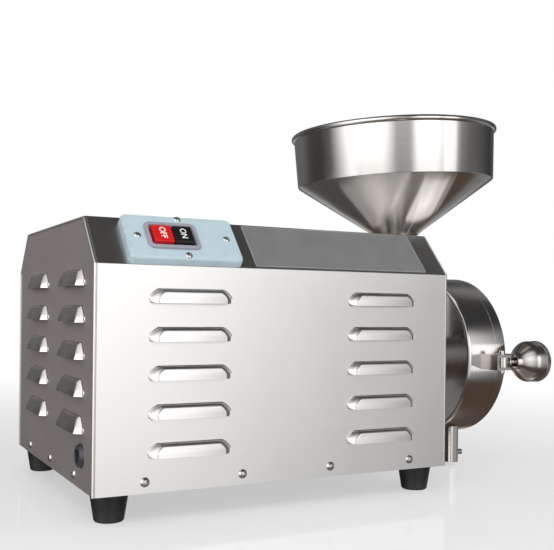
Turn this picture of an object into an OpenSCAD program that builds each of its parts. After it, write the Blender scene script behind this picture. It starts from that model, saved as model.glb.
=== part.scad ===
// Bench mill for nuts: a louvred sheet casing with a motor inside, a feed tube with a hopper
// on its end, and a round mill chamber with a hinged door, a clamp knob and an outlet below.
// Sizes are in millimetres. X runs from the motor end to the mill end, Y from front to back, Z up.
// The origin lies on the floor under the middle of the machine.

/* [Casing] */
// Length of the casing along the shaft
casing_l = 400; // [390:1:430]
// Depth of the casing from front to back
casing_d = 332; // [322:1:350]
// Height of the upright front panel
front_h = 212; // [206:1:224]
// Setback of the sloping panel
chamfer_set = 41; // [37:1:45]
// Rise of the sloping panel
chamfer_rise = 46; // [43:1:50]
// Thickness of the casing sheet
sheet_t = 1.5; // [1.2:0.1:1.8]
// Depth of the end panels inside the ends of the wrap
panel_recess = 1.2; // [0.8:0.1:2]
// Thickness of the base tray
base_t = 2; // [1.5:0.1:3]
// Height of the lip round the base tray
base_lip_h = 18; // [16:0.5:19]

/* [Casing screws] */
// Distance of the first casing screw from the end
screw_inset = 50; // [40:1:60]
// Height of the casing screws above the lower edge
screw_rise = 10.5; // [9:0.5:11]
// Spacing of the screws on the end panels
end_screw_pitch = 99; // [90:1:105]
// Head radius of the casing screws
screw_head_r = 4.6; // [4:0.1:5]
// Shank radius of the casing screws
screw_r = 2; // [1.5:0.1:2.5]

/* [Feet] */
// Height of the rubber feet
foot_h = 28; // [24:1:34]
// Radius of a foot under the casing
foot_top_r = 18.5; // [17:0.5:20]
// Radius of a foot at the floor
foot_tip_r = 14.5; // [13:0.5:16]
// Rounding of the foot at the floor
foot_round = 3; // [2:0.5:4]
// Distance of the feet from the casing ends
foot_inset_x = 24; // [23:0.5:30]
// Distance of the feet from the front and the back
foot_inset_y = 26; // [24:0.5:32]

/* [Louvres] */
// Length of one pressed louvre
louvre_l = 83.5; // [76:0.5:88]
// Height of a front louvre
front_louvre_h = 12.7; // [12:0.1:14]
// Height of an end louvre
end_louvre_h = 15.2; // [13:0.1:16]
// Reach of a louvre out of the panel
louvre_out = 8; // [7:0.5:9]
// Spacing of the front louvre rows
front_louvre_pitch = 36; // [34:0.5:37]
// Spacing of the end louvre rows
end_louvre_pitch = 34.8; // [34:0.2:36]
// Number of louvre rows
louvre_rows = 5; // [3:1:5]
// Rounding along the top of a louvre
louvre_crown = 3.5; // [2.5:0.5:4.5]
// Rounding of the upper corners of a louvre
louvre_round = 8; // [7:0.5:8]
// Rounding of the lower corners of a louvre
louvre_toe = 3.5; // [2.5:0.5:3.5]
// Start of the front louvres nearest the motor end
front_louvre_x = 52.5; // [45:0.5:60]
// Lower edge of the lowest front louvre above the casing edge
front_louvre_z = 32.5; // [28:0.5:36]
// Spacing of the two columns of front louvres
front_louvre_gap = 217.5; // [200:0.5:220]
// Start of the end louvres from the front
end_louvre_y = 34; // [30:0.5:40]
// Spacing of the two columns of end louvres
end_louvre_gap = 147; // [135:0.5:160]
// Lower edge of the lowest end louvre above the casing edge
end_louvre_z = 53; // [50:0.5:55]

/* [Cable inlet] */
// Distance of the cable inlet from the front
inlet_y = 41.5; // [38:0.5:46]
// Height of the cable inlet above the casing edge
inlet_z = 32; // [31:0.5:33]
// Outer radius of the inlet grommet
inlet_r = 12; // [11:0.5:12.5]
// Bore radius of the inlet grommet
inlet_bore_r = 7; // [6:0.5:8]

/* [Switch] */
// Width of the switch plate
plate_w = 115; // [105:1:125]
// Height of the switch plate along the slope
plate_h = 59; // [57:0.5:60]
// Thickness of the switch plate
plate_t = 9; // [8:0.5:10]
// Wall of the switch plate
plate_wall = 2.5; // [2:0.1:3]
// Corner radius of the switch plate
plate_r = 6; // [4:0.5:8]
// Middle of the switch plate from the motor end
plate_x = 90; // [85:1:95]
// Middle of the button window from the motor end
window_x = 79; // [76:0.5:82]
// Width of the button window
window_w = 42; // [38:0.5:44]
// Height of the button window along the slope
window_h = 23.5; // [21:0.5:25]
// Width of the bezel flange round the window
bezel_rim = 5; // [4:0.5:6]
// Height of the bezel above the plate
bezel_up = 3; // [2:0.5:4]
// Height of the buttons above the bezel
button_up = 1.2; // [0.8:0.1:1.6]
// Travel of a button
button_travel = 3.5; // [2.5:0.5:4]

/* [Rating plate] */
// Width of the bare plate on the slope
rating_w = 208; // [190:1:215]
// Height of the bare plate along the slope
rating_h = 57; // [50:0.5:58]
// Start of the bare plate from the motor end
rating_x = 163; // [162:0.5:170]
// Thickness of the bare plate
rating_t = 0.6; // [0.4:0.1:0.8]

/* [Motor] */
// Height of the shaft above the casing edge
shaft_h = 113; // [110:1:118]
// Radius of the shaft
shaft_r = 12; // [11:0.5:13]
// Radius of the motor shell
motor_r = 66; // [64:1:68]
// Length of the motor shell
motor_l = 170; // [160:1:180]
// Start of the motor shell from the motor end
motor_x = 122; // [118:1:126]
// Height of the cooling fins
fin_h = 7; // [5:0.5:8]
// Number of cooling fins
fin_n = 24; // [16:4:32]
// Height of the shaft above the motor feet
motor_foot_h = 90; // [88:1:92]

/* [Mill] */
// Radius of the mill chamber
drum_r = 101.5; // [99:0.5:104]
// Wall of the mill chamber
drum_wall = 4; // [3:0.5:5]
// Gap between the casing and the mill chamber
drum_gap = 86; // [84:1:92]
// Depth of the fixed part of the chamber
drum_l = 44; // [42:1:48]
// Depth of the door
door_l = 15.6; // [15:0.2:18]
// Rounding of the door edge
door_round = 3; // [2:0.5:4]
// Outer radius of the toothed disc
disc_r = 84; // [80:0.5:85]
// Inner radius of the ring sieve
sieve_r = 88; // [87:0.5:90]
// Number of slots in the ring sieve
sieve_n = 48; // [36:4:60]
// Number of teeth in the outer row of the disc
tooth_n = 16; // [12:2:20]

/* [Feed and hopper] */
// Distance of the hopper seat from the casing end
feed_x = 47.5; // [46:0.5:49]
// Height of the hopper seat above the floor
seat_z = 292; // [286:1:300]
// Lean of the hopper towards the motor end
feed_lean = 3.2; // [0:0.2:4]
// Bore radius of the feed tube
tube_r = 31; // [30:0.5:32]
// Outer radius of the hopper spigot
spigot_r = 25; // [24:0.5:25.5]
// Radius of the hopper at its rim
hopper_r = 128.4; // [120:0.2:132]
// Radius of the hopper where the cone starts
hopper_base_r = 125.5; // [118:0.5:128]
// Height of the cone top above the seat
cone_top = 72; // [66:1:80]
// Height of the rim above the seat
rim_top = 138; // [128:1:146]
// Radius of the rolled rim bead
bead_r = 3.4; // [2.5:0.1:4]
// Thickness of the hopper sheet
hopper_t = 1.5; // [1.2:0.1:2]

/* [Outlet] */
// Width of the outlet along the shaft
chute_w = 16; // [14:0.5:18]
// Width of the outlet across the shaft
chute_d = 48; // [42:1:54]
// Clearance of the outlet above the floor
chute_clear = 4; // [2:0.5:8]

/* [Clamp] */
// Distance of the clamp screw from the chamber axis
clamp_out = 120; // [119:0.5:121]
// Drop of the clamp screw below the chamber axis
clamp_drop = 3; // [0:0.5:5]
// Radius of the clamp screw
clamp_r = 3.4; // [3:0.1:3.6]
// Distance of the trunnion from the back of the chamber
trunnion_in = 36; // [35:0.5:37]
// Radius of the trunnion
trunnion_r = 7.5; // [7:0.1:8]
// Length of the collar on the clamp screw
collar_l = 3; // [2.5:0.1:3.5]
// Radius of the clamp knob
knob_r = 25.6; // [23:0.2:28]
// Length of the clamp knob
knob_l = 40.7; // [38:0.1:44]
// Radius of the knob at its neck
neck_r = 11; // [10:0.5:12]
// Length of the flare from the neck to the rim
flare_l = 23; // [20:0.5:25]
// Thickness of the forked lug on the door
fork_t = 5; // [4:0.5:6]

/* [Hinge] */
// Distance of the hinge pin from the chamber axis
hinge_out = 118; // [117:0.5:121]
// Radius of the hinge pin
hinge_r = 4; // [3.5:0.1:4.5]
// Radius of the hinge knuckles
knuckle_r = 9; // [8:0.5:10]

/* [Hidden] */
$fn = 96;
// Room between pieces that move past each other
free = 0.4;
// Radial fit of a turning pin in its bore
fit = 0.04;
// Radial room of a screw in a drilled hole
play = 0.1;
// Overlap of a cutting tool past the face it cuts
eps = 1;

// Main stations along the shaft, with the machine centred between its outermost points
clamp_reach = trunnion_in + trunnion_r + free + collar_l + free + fork_t + free + knob_l;
reach = casing_l + drum_gap + clamp_reach;
x0 = -(reach + panel_recess - louvre_out) / 2;
x1 = x0 + casing_l;
end_in = panel_recess + sheet_t;
feed_face = x1 - panel_recess;
drum_x = x1 + drum_gap;
seam_x = drum_x + drum_l;
door_x = seam_x + free;
door_face = door_x + door_l;
hd = casing_d / 2;
z0 = foot_h;
top_z = z0 + front_h + chamfer_rise;
slope_a = atan2(chamfer_rise, chamfer_set);
slope_l = norm([chamfer_set, chamfer_rise]);
shaft_z = z0 + shaft_h;

// Casing screws: places, head height, length past the lip and reach of their holes
screw_n = 4;
screw_pitch = (casing_l - 2 * screw_inset) / (screw_n - 1);
screw_head_h = 2.6;
screw_out = 3;
hole_reach = 6;
louvre_slit = 0.6;

// Foot bore, well and screw
foot_bore_r = 3.2;
foot_well_r = 7;
foot_screw_r = 3;
foot_head_r = 5.5;
foot_head_h = 3;
foot_nut_r = 6;
foot_nut_h = 2;

// Grommet lips and groove
grommet_lip = 4;
grommet_inner = 2.5;
grommet_taper = 2;
grommet_groove = 2.5;
grommet_back = 0.5;

// Switch plate, its screws, the window and the bezel
switch_low = 1.2;
switch_s = slope_l / 2 - switch_low;
plate_edge = 2;
plate_steps = 4;
plate_screw_x = plate_w / 2 - 12;
plate_screw_y = plate_h / 2 - 5.2;
plate_post_r = 4;
plate_screw_r = 1.6;
plate_head_r = 3.6;
plate_head_h = 1.8;
plate_screw_out = 4;
window_wall = 2;
bezel_end = 1;
bezel_r = 3;

// Switch body and buttons
body_deep = 38;
body_rim = 6;
button_gap = 0.6;
button_low = 6;
button_r = 1.2;
button_w = (window_w - 3 * button_gap) / 2;
button_step = (button_w + button_gap) / 2;
stem_r = 3;
stem_l = 12;
stem_in = 1;
well_d = button_low + button_travel + stem_in;
rating_r = 2;

// Motor shell, fins and feet
motor_x0 = x0 + motor_x;
motor_x1 = motor_x0 + motor_l;
shell_t = 8;
fin_t = 3;
fin_root = 2;
fin_end = 4;
foot_z = shaft_z - motor_foot_h;
motor_foot_t = 6;
motor_foot_w = 34;
motor_foot_y = motor_r;
web_t = 8;
web_h = motor_foot_h - motor_r / 2;

// End shields and bearings
shield_l = 18;
shield_in = 6;
shield_edge = 4;
shield_dish = 14;
shield_face = 10;
shield_vents = 6;
shield_vent_r = 6;
shield_vent_row = motor_r - 24;
shaft_room = 3;
bearing_r = 26;
bearing_l = 15;

// Fan cover and fan
fan_cover_l = 52;
cover_t = 1.5;
cover_r = motor_r - 1;
cover_x = motor_x0 + shield_in - shield_l + shield_edge - fan_cover_l;
cover_seat_l = 10;
cover_seat_r = motor_r - 12;
vent_n = 12;
vent_l = 13;
vent_w = 5;
vent_out = cover_r - vent_l - 8;
vent_in = vent_out - vent_l - 7;
fan_r = cover_r - 13;
fan_x = cover_x + 14;
fan_w = 18;
fan_hub_r = 19;
fan_disc_t = 2.5;
fan_disc_r = fan_r - 6;
blade_n = 8;
blade_t = 2.5;
blade_root = 15;

// Rails and bolts below the motor
rail_w = 36;
rail_t = 3;
rail_over = 12;
rail_y = motor_foot_y + motor_foot_w / 2 + rail_over;
rail_h = foot_z - z0 - base_t;
bolt_r = 4;
bolt_head_r = 7.5;
bolt_head_h = 5;
bolt_out = 1;

// Stator and rotor
stator_gap = 35;
stator_l = motor_l - 2 * stator_gap;
core_t = 21;
core_r = motor_r - shell_t - core_t;
slot_n = 24;
slot_w = 3.2;
slot_d = 12;
slot_lip = 2;
winding_l = 16;
winding_w = 14;
winding_out = 10;
winding_round = 5;
air_gap = 0.6;
end_ring_l = 6;
end_ring_out = core_r - 4;
end_ring_in = core_r - 14;
bar_n = 20;
bar_w = 1.6;
bar_d = 4;

// Capacitor and its clip
can_r = 20;
can_l = 76;
can_x = x0 + 60;
can_y = 38 - hd;
can_rest = 2.5;
can_z = z0 + base_t + can_r + can_rest;
can_step = 3;
tag_l = 4;
tag_t = 1;
clip_w = 18;
clip_t = 1.5;
clip_foot = 14;
clip_x = can_x + (can_l - clip_w) / 2;

// Shaft, keyway and auger
shaft_x = cover_x + 10;
key_w = 5;
key_d = 4;
key_in = 20;
sleeve_r = 16;
auger_pitch = 44;
auger_t = 6;
auger_room = 2;
auger_gap = 4;
auger_in = 14;
auger_bare = 12;
auger_slices = 28;
auger_facets = 16;

// Toothed disc, its inserts and its nut
disc_in = 24;
disc_x = drum_x + disc_in;
disc_t = 6;
disc_hub_r = 22;
disc_hub_back = 10;
disc_hub_up = 2;
disc_slots = 4;
disc_slot_a = 56;
disc_slot_in = disc_hub_r + 2;
disc_slot_w = 10;
inner_row = 40;
fixed_row = 59;
outer_row = disc_r - 6;
tooth_h = 12;
tooth_t = 8;
tooth_w = 9;
inner_tooth_w = 10;
peg_r = 2.5;
peg_l = 4;
stud_r = 8;
stud_l = 14;
nut_r = 14;
nut_l = 9;
washer_r = 17;
washer_t = 2;

// Feed tube with its flanges, socket and seal
flange_r = 50;
flange_t = 8;
tube_t = 6;
drum_flange_r = 48;
drum_flange_t = 7;
socket_t = 2.8;
socket_lip_h = 8;
socket_low = shaft_z - seat_z + 4;
spigot_play = 0.15;
seal_r = 20;
seal_wall = 2;
lip_r = 30;

// Bolts of the feed tube and of the chamber
flange_bolts = 4;
feed_pcd = 43;
feed_bolt_r = 3;
feed_head_r = 5.5;
feed_head_h = 4;
feed_bolt_out = 6;
chamber_pcd = 42;
chamber_bolt_r = 2.5;
chamber_head_r = 5;
chamber_head_h = 3.2;
chamber_nut_r = 4.6;
chamber_nut_h = 4;
chamber_bolt_out = 6;

// Door and its seal
door_t = 4;
door_step = 2;
door_seal_d = 2.6;
door_seal_in = 1;
fixed_t = 6;
fixed_w = 22;
fixed_tooth_h = 16;
fixed_n = tooth_n - 4;

// Chamber and ring sieve
back_t = 3;
sieve_t = 1.5;
sieve_end = 7;
sieve_slot_w = 3;
sieve_room = 0.6;
sieve_l = drum_l + free + door_l - door_t - back_t - sieve_room;

// Outlet and its studs
chute_in = 17;
chute_x = drum_x + chute_in;
chute_y = -46;
chute_t = 2;
chute_round = 5;
chute_cut = 8;
chute_cut_h = 40;
chute_top = shaft_z - drum_r * 4 / 5;
stud_up = 12;
bag_stud_r = 2.2;
bag_stud_l = 5;
bag_head_r = 3.6;
bag_head_l = 2.4;
stud_mid_y = chute_y + chute_d / 2;
stud_front_y = chute_y + chute_round + bag_stud_r;
stud_z = chute_clear + stud_up;

// Latch bracket, trunnion, fork and clamp screw
clamp_z = shaft_z - clamp_drop;
root_y = drum_r - 11.5;
trunnion_x = drum_x + trunnion_in;
trunnion_h = 12;
journal_r = 3.3;
journal_up = 16;
clamp_room = 0.9;
bracket_x = drum_x + 19;
bracket_l = 22;
bracket_t = 3.2;
bracket_half = trunnion_h / 2 + bracket_t + play;
bracket_reach = clamp_out + 11;
collar_x = trunnion_x + trunnion_r + free;
fork_x = collar_x + collar_l + free;
fork_half = 9.8;
fork_slot = 4.8;
fork_tip = 7;
fork_l = 30;
clamp_x = drum_x + 31;
collar_r = clamp_r + 3.4;

// Clamp knob
hub_x = fork_x + fork_t + free;
neck_l = 0.8;
flare_n = 12;
knob_edge = 1.5;
knob_bore_l = 12;
knob_dish_r = knob_r - 7;
knob_dish_d = 1.5;

// Hinge
hinge_x = door_x + 7.6;
hinge_back = drum_x + 24;
hinge_base_l = 18;
hinge_half = 11.6;
hinge_arm_t = 12;
knuckle_h = 20;
pin_head_out = 2;
pin_head_h = 3;

// Hopper spigot and cone
spigot_l = 24;
seat_t = 3;
cone_low = 10;
cone_low_r = 34;
cone_lap = 0.8;

// Outline of the casing at an inset from its outer face, from the front foot to the back foot
function wrap_pts(g) =
    let (low = g * tan((90 - slope_a) / 2), high = g * tan(slope_a / 2))
    [
        [-hd + g, z0],
        [-hd + g, z0 + front_h - low],
        [-hd + chamfer_set + high, top_z - g],
        [hd - chamfer_set - high, top_z - g],
        [hd - g, z0 + front_h - low],
        [hd - g, z0]
    ];
function reversed(p) = [for (i = [len(p) - 1 : -1 : 0]) p[i]];

// Radius of the knob along its flare, from 0 at the neck to 1 at the rim
function flare_r(t) = neck_r + (knob_r - neck_r) * t * t * (3 - 2 * t);

// A flat shape in Y and Z drawn out along X
module along_x(x, l) {
    translate([x, 0, 0]) rotate([90, 0, 90]) linear_extrude(l) children();
}

// Places children on the shaft line with their own Z along the shaft
module on_shaft(x) {
    translate([x, 0, shaft_z]) rotate([0, 90, 0]) children();
}

// Places children on the shaft line with their own Z towards the motor end
module on_shaft_back(x) {
    translate([x, 0, shaft_z]) rotate([0, -90, 0]) children();
}

// Places children on the front slope: X along the casing, Y up the slope, Z out of it
module on_slope(x, s) {
    translate([x0 + x, -hd, z0 + front_h]) rotate([slope_a, 0, 0]) translate([0, s, 0]) children();
}

// Places children on the leaning hopper seat
module on_seat() {
    translate([x1 + feed_x, 0, seat_z]) rotate([0, -feed_lean, 0]) children();
}

// Places children on the clamp line with their own Z along the shaft
module on_clamp(x) {
    translate([x, -clamp_out, clamp_z]) rotate([0, 90, 0]) children();
}

// Repeats children round the local Z axis on a circle
module around(n, r) {
    for (i = [0 : n - 1])
        rotate([0, 0, i * 360 / n]) translate([r, 0, 0]) children();
}

// A ring round the local Z axis
module ring(r_out, r_in, l) {
    difference() {
        cylinder(r = r_out, h = l);
        translate([0, 0, -eps]) cylinder(r = r_in, h = l + 2 * eps);
    }
}

// A rectangle with round corners about its own middle
module round_rect(w, h, r) {
    square([w - 2 * r, h], center = true);
    square([w, h - 2 * r], center = true);
    for (sx = [-1, 1], sy = [-1, 1])
        translate([sx * (w / 2 - r), sy * (h / 2 - r)]) circle(r);
}

// A slab with round corners whose upper edge steps in along a quarter round
module soft_slab(w, h, t, r, edge, steps) {
    for (k = [0 : steps]) {
        inset = edge * (1 - cos(90 * k / (steps + 1)));
        linear_extrude(t - edge + edge * sin(90 * k / steps))
            round_rect(w - 2 * inset, h - 2 * inset, r - inset);
    }
}

// A screw with a domed head on the plane Z = 0 and a shank below it
module screw(head_r, head_h, r, l) {
    dome = (head_r * head_r + head_h * head_h) / (2 * head_h);
    intersection() {
        translate([0, 0, head_h - dome]) sphere(dome);
        cylinder(r = head_r + eps, h = head_h);
    }
    translate([0, 0, -l]) cylinder(r = r, h = l + head_h / 4);
}

// A hexagon bolt with its head above the plane Z = 0
module hex_bolt(head_r, head_h, r, l) {
    cylinder(r = head_r, h = head_h, $fn = 6);
    translate([0, 0, -l]) cylinder(r = r, h = l + head_h / 4);
}

// A hole through the plane Z = 0
module hole(r, deep) {
    translate([0, 0, -deep]) cylinder(r = r, h = 2 * deep);
}

// A tooth on the plane Z = 0 with a round peg below it
module tooth(w, h) {
    translate([-w / 2, -tooth_t / 2, 0]) cube([w, tooth_t, h]);
    translate([0, 0, -peg_l]) cylinder(r = peg_r, h = peg_l + h / 2);
}

// The bore of a tooth peg below the plane Z = 0
module peg_bore() {
    translate([0, 0, -peg_l - play]) cylinder(r = peg_r + fit / 2, h = peg_l + play + eps);
}

// One louvre hood with its lower edge on Y = 0, its end on X = 0 and the panel face on Z = 0
module hood(high, inset, low, back) {
    out = louvre_out - inset;
    top = high - inset;
    crown = louvre_crown - inset;
    corner = louvre_round - inset;
    intersection() {
        rotate([90, 0, 90]) linear_extrude(louvre_l) {
            translate([low, back]) square([top - crown - low, out - back]);
            translate([low, back]) square([top - low, out - crown - back]);
            translate([top - crown, out - crown]) circle(crown);
        }
        translate([0, high, 0]) rotate([90, 0, 0]) linear_extrude(high - low + eps) {
            translate([louvre_out, back]) square([louvre_l - 2 * louvre_out, out - back]);
            for (x = [louvre_out, louvre_l - louvre_out])
                translate([x, 0]) circle(out);
        }
        translate([0, 0, back]) linear_extrude(louvre_out - back) {
            translate([inset, louvre_toe]) square([louvre_l - 2 * inset, top - corner - louvre_toe]);
            translate([louvre_toe, low]) square([louvre_l - 2 * louvre_toe, top - corner - low]);
            translate([louvre_round, low]) square([louvre_l - 2 * louvre_round, top - low]);
            for (x = [louvre_round, louvre_l - louvre_round])
                translate([x, top - corner]) circle(corner);
            for (x = [louvre_toe, louvre_l - louvre_toe])
                translate([x, louvre_toe]) circle(louvre_toe - inset);
        }
    }
}

// Two columns of louvre places on a wall
module louvre_grid(start, gap, low, pitch) {
    for (c = [0, 1], i = [0 : louvre_rows - 1])
        translate([start + c * gap, low + i * pitch, 0]) children();
}

// The front, the back and the motor end of the casing, each with X to the right as seen from outside
module front_wall() {
    translate([x0, -hd, z0]) rotate([90, 0, 0]) children();
}
module back_wall() {
    translate([x1, hd, z0]) rotate([90, 0, 180]) children();
}
module motor_end_wall() {
    translate([x0 + panel_recess, hd, z0]) rotate([90, 0, -90]) children();
}

// Places of the louvres on the wrap and on the motor end
module front_louvre_grid() {
    louvre_grid(front_louvre_x, front_louvre_gap, front_louvre_z, front_louvre_pitch) children();
}
module wrap_louvre_places() {
    front_wall() front_louvre_grid() children();
    back_wall() front_louvre_grid() children();
}
module end_louvre_places() {
    first = casing_d - end_louvre_y - end_louvre_gap - louvre_l;
    motor_end_wall() louvre_grid(first, end_louvre_gap, end_louvre_z, end_louvre_pitch) children();
}

// Places of the screws that hold the wrap and the end panels to the base tray
module wrap_screw_places() {
    for (i = [0 : screw_n - 1]) {
        front_wall() translate([screw_inset + i * screw_pitch, screw_rise, 0]) children();
        back_wall() translate([screw_inset + i * screw_pitch, screw_rise, 0]) children();
    }
}
module end_screw_places(sides) {
    for (s = sides, i = [-1 : 1])
        translate([s < 0 ? x0 + panel_recess : feed_face, i * end_screw_pitch, z0 + screw_rise])
            rotate([0, s * 90, 0]) children();
}

// Places of the feet, of the motor bolts and of the screws of the switch plate
module foot_place(sx, sy) {
    foot_x = sx < 0 ? x0 + foot_inset_x : x1 - foot_inset_x;
    translate([foot_x, sy * (hd - foot_inset_y), 0]) children();
}
module foot_places() {
    for (sx = [-1, 1], sy = [-1, 1])
        foot_place(sx, sy) children();
}
module motor_bolt_places() {
    for (x = [rail_w / 2, motor_l - rail_w / 2], sy = [-1, 1])
        translate([motor_x0 + x, sy * motor_foot_y, 0]) children();
}
module plate_screw_places() {
    places = [[plate_screw_x, 0], [-plate_screw_x, 0], [0, plate_screw_y], [0, -plate_screw_y]];
    on_slope(plate_x, switch_s) for (p = places)
        translate([p[0], p[1], plate_t]) children();
}

// Places of the bolts at both ends of the feed tube
module feed_bolt_places() {
    on_shaft(feed_face) rotate([0, 0, 45]) around(flange_bolts, feed_pcd) children();
}
module chamber_bolt_places() {
    on_shaft(drum_x + back_t) rotate([0, 0, 45]) around(flange_bolts, chamber_pcd) children();
}

// The round body of the mill, for trimming what stands on it
module drum_round() {
    on_shaft(drum_x) cylinder(r = drum_r, h = 2 * (drum_l + door_l));
}

// Casing

module base_tray() {
    tray_x = x0 + end_in;
    tray_l = casing_l - 2 * end_in;
    tray_d = casing_d - 2 * sheet_t;
    color("#8f9294") difference() {
        translate([tray_x, -tray_d / 2, z0]) cube([tray_l, tray_d, base_lip_h]);
        translate([tray_x + base_t, -tray_d / 2 + base_t, z0 + base_t])
            cube([tray_l - 2 * base_t, tray_d - 2 * base_t, base_lip_h]);
        foot_places() translate([0, 0, z0]) hole(foot_screw_r + play, base_t + eps);
        motor_bolt_places() translate([0, 0, z0]) hole(bolt_r + play, base_t + eps);
        wrap_screw_places() hole(screw_r + play, hole_reach);
        end_screw_places([-1, 1]) hole(screw_r + play, hole_reach);
    }
}

module casing_wrap() {
    window = [window_w + 2 * window_wall, window_h + 2 * window_wall];
    color("#c9cbcc") difference() {
        union() {
            along_x(x0, casing_l) polygon(concat(wrap_pts(0), reversed(wrap_pts(sheet_t))));
            wrap_louvre_places() hood(front_louvre_h, 0, 0, -sheet_t);
        }
        wrap_louvre_places() hood(front_louvre_h, sheet_t, -louvre_slit, -sheet_t - eps);
        wrap_screw_places() hole(screw_r + play, hole_reach);
        on_slope(window_x, switch_s) translate([0, 0, -sheet_t - eps]) linear_extrude(sheet_t + 2 * eps)
            square(window, center = true);
        plate_screw_places() translate([0, 0, -plate_t]) hole(plate_screw_r + play, hole_reach);
    }
}

module end_panel_motor() {
    color("#7c7877") difference() {
        union() {
            along_x(x0 + panel_recess, sheet_t) polygon(wrap_pts(sheet_t));
            end_louvre_places() hood(end_louvre_h, 0, 0, -sheet_t);
        }
        end_louvre_places() hood(end_louvre_h, sheet_t, -louvre_slit, -sheet_t - eps);
        end_screw_places([-1]) hole(screw_r + play, hole_reach);
        translate([x0, inlet_y - hd, z0 + inlet_z]) rotate([0, 90, 0])
            hole(inlet_r - grommet_groove, hole_reach);
    }
}

module end_panel_mill() {
    color("#b9bbbc") difference() {
        along_x(feed_face - sheet_t, sheet_t) polygon(wrap_pts(sheet_t));
        end_screw_places([1]) hole(screw_r + play, hole_reach);
        on_shaft(feed_face) hole(seal_r, sheet_t + eps);
        feed_bolt_places() hole(feed_bolt_r + play, sheet_t + eps);
    }
}

module casing_screws() {
    shank = sheet_t + base_t + screw_out;
    color("#d5d7d8") {
        wrap_screw_places() screw(screw_head_r, screw_head_h, screw_r, shank);
        end_screw_places([-1, 1]) screw(screw_head_r, screw_head_h, screw_r, shank);
    }
}

module foot() {
    color("#2a2a2e") difference() {
        rotate_extrude() {
            polygon([
                [0, 0], [foot_tip_r - foot_round, 0], [foot_tip_r, foot_round],
                [foot_top_r, foot_h], [0, foot_h]
            ]);
            translate([foot_tip_r - foot_round, foot_round]) circle(foot_round);
        }
        translate([0, 0, -eps]) cylinder(r = foot_well_r, h = foot_h / 2 + eps);
        cylinder(r = foot_bore_r, h = foot_h + eps);
    }
}
module foot_front_left() {
    foot_place(-1, -1) foot();
}
module foot_front_right() {
    foot_place(1, -1) foot();
}
module foot_back_left() {
    foot_place(-1, 1) foot();
}
module foot_back_right() {
    foot_place(1, 1) foot();
}

module foot_screws() {
    shank = foot_h / 2 + base_t + foot_nut_h;
    color("#b4b6b7") foot_places() {
        translate([0, 0, foot_h / 2]) mirror([0, 0, 1]) screw(foot_head_r, foot_head_h, foot_screw_r, shank);
        translate([0, 0, z0 + base_t]) cylinder(r = foot_nut_r, h = foot_nut_h, $fn = 6);
    }
}

module cable_grommet() {
    l = grommet_lip + sheet_t + grommet_inner;
    color("#333336") translate([x0 + panel_recess - grommet_lip, inlet_y - hd, z0 + inlet_z])
        rotate([0, 90, 0]) difference() {
            union() {
                cylinder(r1 = inlet_r - grommet_taper, r2 = inlet_r, h = grommet_lip);
                cylinder(r = inlet_r - grommet_groove, h = l);
                translate([0, 0, grommet_lip + sheet_t])
                    cylinder(r = inlet_r - grommet_back, h = grommet_inner);
            }
            hole(inlet_bore_r, l + eps);
        }
}

// Switch

module switch_plate() {
    window = [window_w + 2 * window_wall, window_h + 2 * window_wall];
    color("#c0d5dd") difference() {
        union() {
            on_slope(plate_x, switch_s) difference() {
                soft_slab(plate_w, plate_h, plate_t, plate_r, plate_edge, plate_steps);
                translate([0, 0, -eps]) linear_extrude(plate_t - plate_wall + eps)
                    round_rect(plate_w - 2 * plate_wall, plate_h - 2 * plate_wall, plate_r - plate_wall);
            }
            plate_screw_places() translate([0, 0, -plate_t])
                cylinder(r = plate_post_r, h = plate_t - plate_wall / 2);
        }
        plate_screw_places() hole(plate_screw_r + play, plate_t + eps);
        on_slope(window_x, switch_s) translate([0, 0, -eps]) linear_extrude(plate_t + 2 * eps)
            square(window, center = true);
    }
}

module switch_bezel() {
    color("#9c9aa6") on_slope(window_x, switch_s) difference() {
        union() {
            translate([0, 0, plate_t]) linear_extrude(bezel_up)
                round_rect(window_w + 2 * (bezel_rim + bezel_end), window_h + 2 * bezel_rim, bezel_r);
            translate([0, 0, -sheet_t]) linear_extrude(plate_t + sheet_t)
                square([window_w + 2 * window_wall, window_h + 2 * window_wall], center = true);
        }
        translate([0, 0, -sheet_t - eps]) linear_extrude(plate_t + bezel_up + sheet_t + 2 * eps)
            square([window_w, window_h], center = true);
    }
}

module switch_body() {
    color("#3a3b40") on_slope(window_x, switch_s) difference() {
        translate([0, 0, -body_deep]) linear_extrude(body_deep - sheet_t)
            square([window_w + 2 * body_rim, window_h + 2 * body_rim], center = true);
        translate([0, 0, -well_d - sheet_t]) linear_extrude(well_d + eps)
            square([window_w, window_h], center = true);
        for (s = [-1, 1])
            translate([s * button_step, 0, -sheet_t - well_d - stem_l])
                cylinder(r = stem_r + free, h = stem_l + eps);
    }
}

module button(s) {
    on_slope(window_x, switch_s) translate([s * button_step, 0, -sheet_t - button_low]) {
        linear_extrude(button_low + sheet_t + plate_t + bezel_up + button_up)
            round_rect(button_w, window_h - 2 * button_gap, button_r);
        translate([0, 0, stem_in - stem_l]) cylinder(r = stem_r, h = stem_l);
    }
}
module button_off() {
    color("#e01515") button(-1);
}
module button_on() {
    color("#1c1c20") button(1);
}

module switch_plate_screws() {
    shank = plate_t + sheet_t + plate_screw_out;
    color("#c8cacb") plate_screw_places() screw(plate_head_r, plate_head_h, plate_screw_r, shank);
}

module rating_plate() {
    color("#8e8e8e") on_slope(rating_x + rating_w / 2, slope_l / 2)
        linear_extrude(rating_t) round_rect(rating_w, rating_h, rating_r);
}

// Motor

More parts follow.
